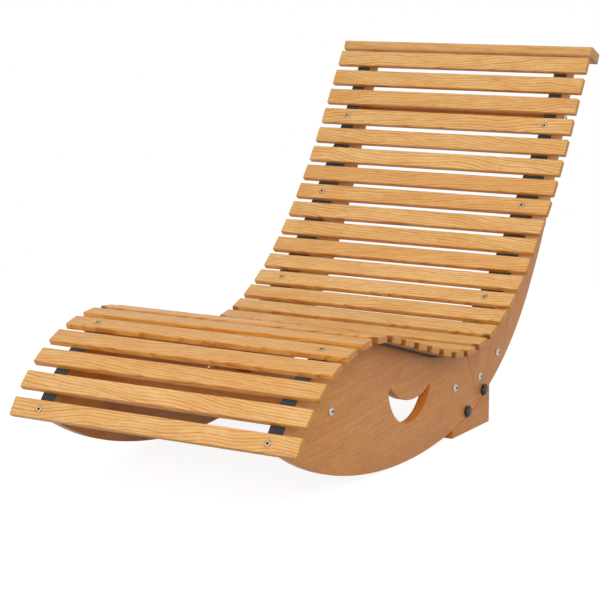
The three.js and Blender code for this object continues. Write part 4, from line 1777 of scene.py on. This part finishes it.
@dataclass
class Studio:
    """Pale floor, soft lamps, white surroundings and the camera. Places are metres, lens and sensor millimetres."""

    lens: float = 114.895
    sensor: float = 36
    eye: Triple = (1.8512, -3.25322, 0.9434)
    right: Triple = (0.86106238, 0.50849935, 0.0)
    look: Triple = (-0.50028623, 0.84715478, -0.17900411)
    up: Triple = (-0.09102347, 0.15413371, 0.98384833)
    floor_radius: float = 60
    floor_corners: int = 96
    floor_drop: float = 0.0002
    floor_fade: Range = (1.1, 2.2)
    floor_shade: float = 0.30
    floor_glow: float = 0.86
    sky: float = 0.63
    lamps: tuple[Lamp, ...] = (
        Lamp("key_lamp", (3.85, -4.7, 4.4), (0.0, 0.0, 0.35), 5.4, 200.0),
        Lamp("fill_lamp", (-1.0, -6.4, 2.0), (0.0, 0.0, 0.35), 3.2, 128.0),
    )

    def build(self) -> None:
        """Makes the floor, the world, the lamps and the camera."""
        self.floor()
        self.world()
        for lamp in self.lamps:
            self.light(lamp)
        self.camera()
        bpy.context.scene.view_settings.view_transform = "Standard"

    def floor(self) -> None:
        """Plain round floor that keeps the shadow and is white to the camera.

        Formula: the diffuse floor near the lounge gives way to even white with the distance from the middle.
        """
        mesh = bpy.data.meshes.new("studio_floor")
        angle = np.linspace(0, TURN, self.floor_corners, endpoint=False)
        ring = np.pad(unit(angle) * self.floor_radius, ((0, 0), (0, 1)))
        mesh.from_pydata(ring, [], [list(range(self.floor_corners))])
        graph = Graph("studio_floor")
        rays = graph.node("ShaderNodeLightPath").outputs
        mirrored = graph.maths("MAXIMUM", rays["Is Glossy Ray"], rays["Is Transmission Ray"])
        seen = graph.maths("MAXIMUM", rays["Is Camera Ray"], mirrored)
        place = graph.node("ShaderNodeTexCoord").outputs["Object"]
        reach = graph.node("ShaderNodeVectorMath", {0: place}, operation="LENGTH").outputs["Value"]
        far = graph.maths("MULTIPLY", graph.spread(reach, *self.floor_fade), seen)
        diffuse = graph.node("ShaderNodeBsdfDiffuse", {"Color": (*[self.floor_shade] * 3, 1)}).outputs[0]
        glow = graph.node("ShaderNodeEmission", {"Strength": graph.maths("MULTIPLY", seen, self.floor_glow)}).outputs[0]
        white = graph.node("ShaderNodeEmission", {"Strength": 1.0}).outputs[0]
        near = graph.node("ShaderNodeAddShader", {0: diffuse, 1: glow}).outputs[0]
        whole = graph.node("ShaderNodeMixShader", {0: far, 1: near, 2: white}).outputs[0]
        graph.tree.links.new(whole, graph.tree.nodes["Material Output"].inputs["Surface"])
        mesh.materials.append(graph.material)
        floor = bpy.data.objects.new("studio_floor", mesh)
        bpy.context.scene.collection.objects.link(floor)
        floor.location.z = -self.floor_drop

    def world(self) -> None:
        """White surroundings.

        Formula: the strength is one where they are seen or mirrored, and the sky's own as light.
        """
        world = bpy.data.worlds.new("studio_world")
        world.use_nodes = True
        tree = world.node_tree
        background = tree.nodes["Background"]
        rays = tree.nodes.new("ShaderNodeLightPath").outputs
        seen = tree.nodes.new("ShaderNodeMath")
        seen.operation = "MAXIMUM"
        tree.links.new(rays["Is Camera Ray"], seen.inputs[0])
        tree.links.new(rays["Is Glossy Ray"], seen.inputs[1])
        level = tree.nodes.new("ShaderNodeMapRange")
        level.inputs[3].default_value = self.sky
        level.inputs[4].default_value = 1.0
        tree.links.new(seen.outputs[0], level.inputs[0])
        background.inputs["Color"].default_value = (1, 1, 1, 1)
        tree.links.new(level.outputs[0], background.inputs["Strength"])
        bpy.context.scene.world = world

    def light(self, lamp: Lamp) -> None:
        """Places one lamp.

        Formula: its back is the way from the aim to the lamp, its side is square to that and level, and its up is
        square to both.

        Args:
            lamp: the lamp.
        """
        data = bpy.data.lights.new(lamp.name, "AREA")
        data.size = lamp.size
        data.energy = lamp.power
        item = bpy.data.objects.new(lamp.name, data)
        bpy.context.scene.collection.objects.link(item)
        back = np.array(lamp.place) - np.array(lamp.aim)
        back /= np.linalg.norm(back)
        side = np.cross((0.0, 0.0, 1.0), back)
        side /= np.linalg.norm(side)
        self.put(item, side, np.cross(back, side), back, lamp.place)

    def camera(self) -> None:
        """Places the camera as the photograph was taken."""
        data = bpy.data.cameras.new("studio_camera")
        data.lens = self.lens
        data.sensor_width = self.sensor
        item = bpy.data.objects.new("studio_camera", data)
        bpy.context.scene.collection.objects.link(item)
        self.put(item, np.array(self.right), np.array(self.up), -np.array(self.look), self.eye)
        bpy.context.scene.camera = item

    @staticmethod
    def put(item: bpy.types.Object, right: Array, up: Array, back: Array, place: Sequence[float]) -> None:
        """Stands an object on three directions and a place.

        Args:
            item: the object.
            right: the direction of its own x.
            up: the direction of its own y.
            back: the direction of its own z.
            place: where it stands.
        """
        matrix = np.eye(4)
        matrix[:3, 0], matrix[:3, 1], matrix[:3, 2], matrix[:3, 3] = right, up, back, place
        item.matrix_world = Matrix(matrix.tolist())


SLAT_WOOD = WoodFinish(
    "golden_slat_wood", "slat_wood",
    pale=(235, 194, 130), deep=(219, 166, 98), line=(186, 106, 48), pore=(128, 78, 40),
)
CAP_WOOD = WoodFinish(
    "golden_cap_wood", "slat_wood",
    pale=(222, 178, 120), deep=(210, 161, 102), line=(181, 116, 58), pore=(128, 78, 40),
    ring=0.0070, sway=0.010, ripple=0.0012, line_share=0.4, edge_shade_tint=(1.0, 0.92, 0.8),
)
# Painted shade: a copy of the golden wood tinted redder as shade and orange bounce light on the boards' side faces.
SHADE_TINTED_FRAME_WOOD = WoodFinish(
    "red_frame_wood", "frame_wood",
    pale=(233, 161, 90), deep=(217, 142, 74), line=(192, 116, 56), pore=(124, 74, 40),
    ring=0.0085, sway=0.016, ripple=0.0016, line_share=0.3, streak_share=0.35, pore_share=0.22,
)
ZINC = MetalFinish("zinc_plate", "bolt_zinc", bright=(205, 206, 207), dull=(160, 161, 163), roughness=0.28)
BRASS = MetalFinish("aged_brass", "bolt_zinc", bright=(216, 190, 150), dull=(152, 126, 92), roughness=0.45)


def main() -> None:
    """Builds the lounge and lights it."""
    logging.basicConfig(level=logging.INFO, format="%(message)s")
    lines = SideLines()
    mat = SlatMat(lines, SLAT_WOOD, BRASS)
    mat.build()
    WebbingStraps(lines, WebbingFinish(), mat.runs(), mat.bite).build()
    SideBoards(lines, SHADE_TINTED_FRAME_WOOD).build()
    StopPlates(lines, SHADE_TINTED_FRAME_WOOD).build()
    Rails(lines, CAP_WOOD, SHADE_TINTED_FRAME_WOOD).build()
    Hardware(lines, ZINC, CapFinish()).build()
    Studio().build()


if __name__ == "__main__":
    main()
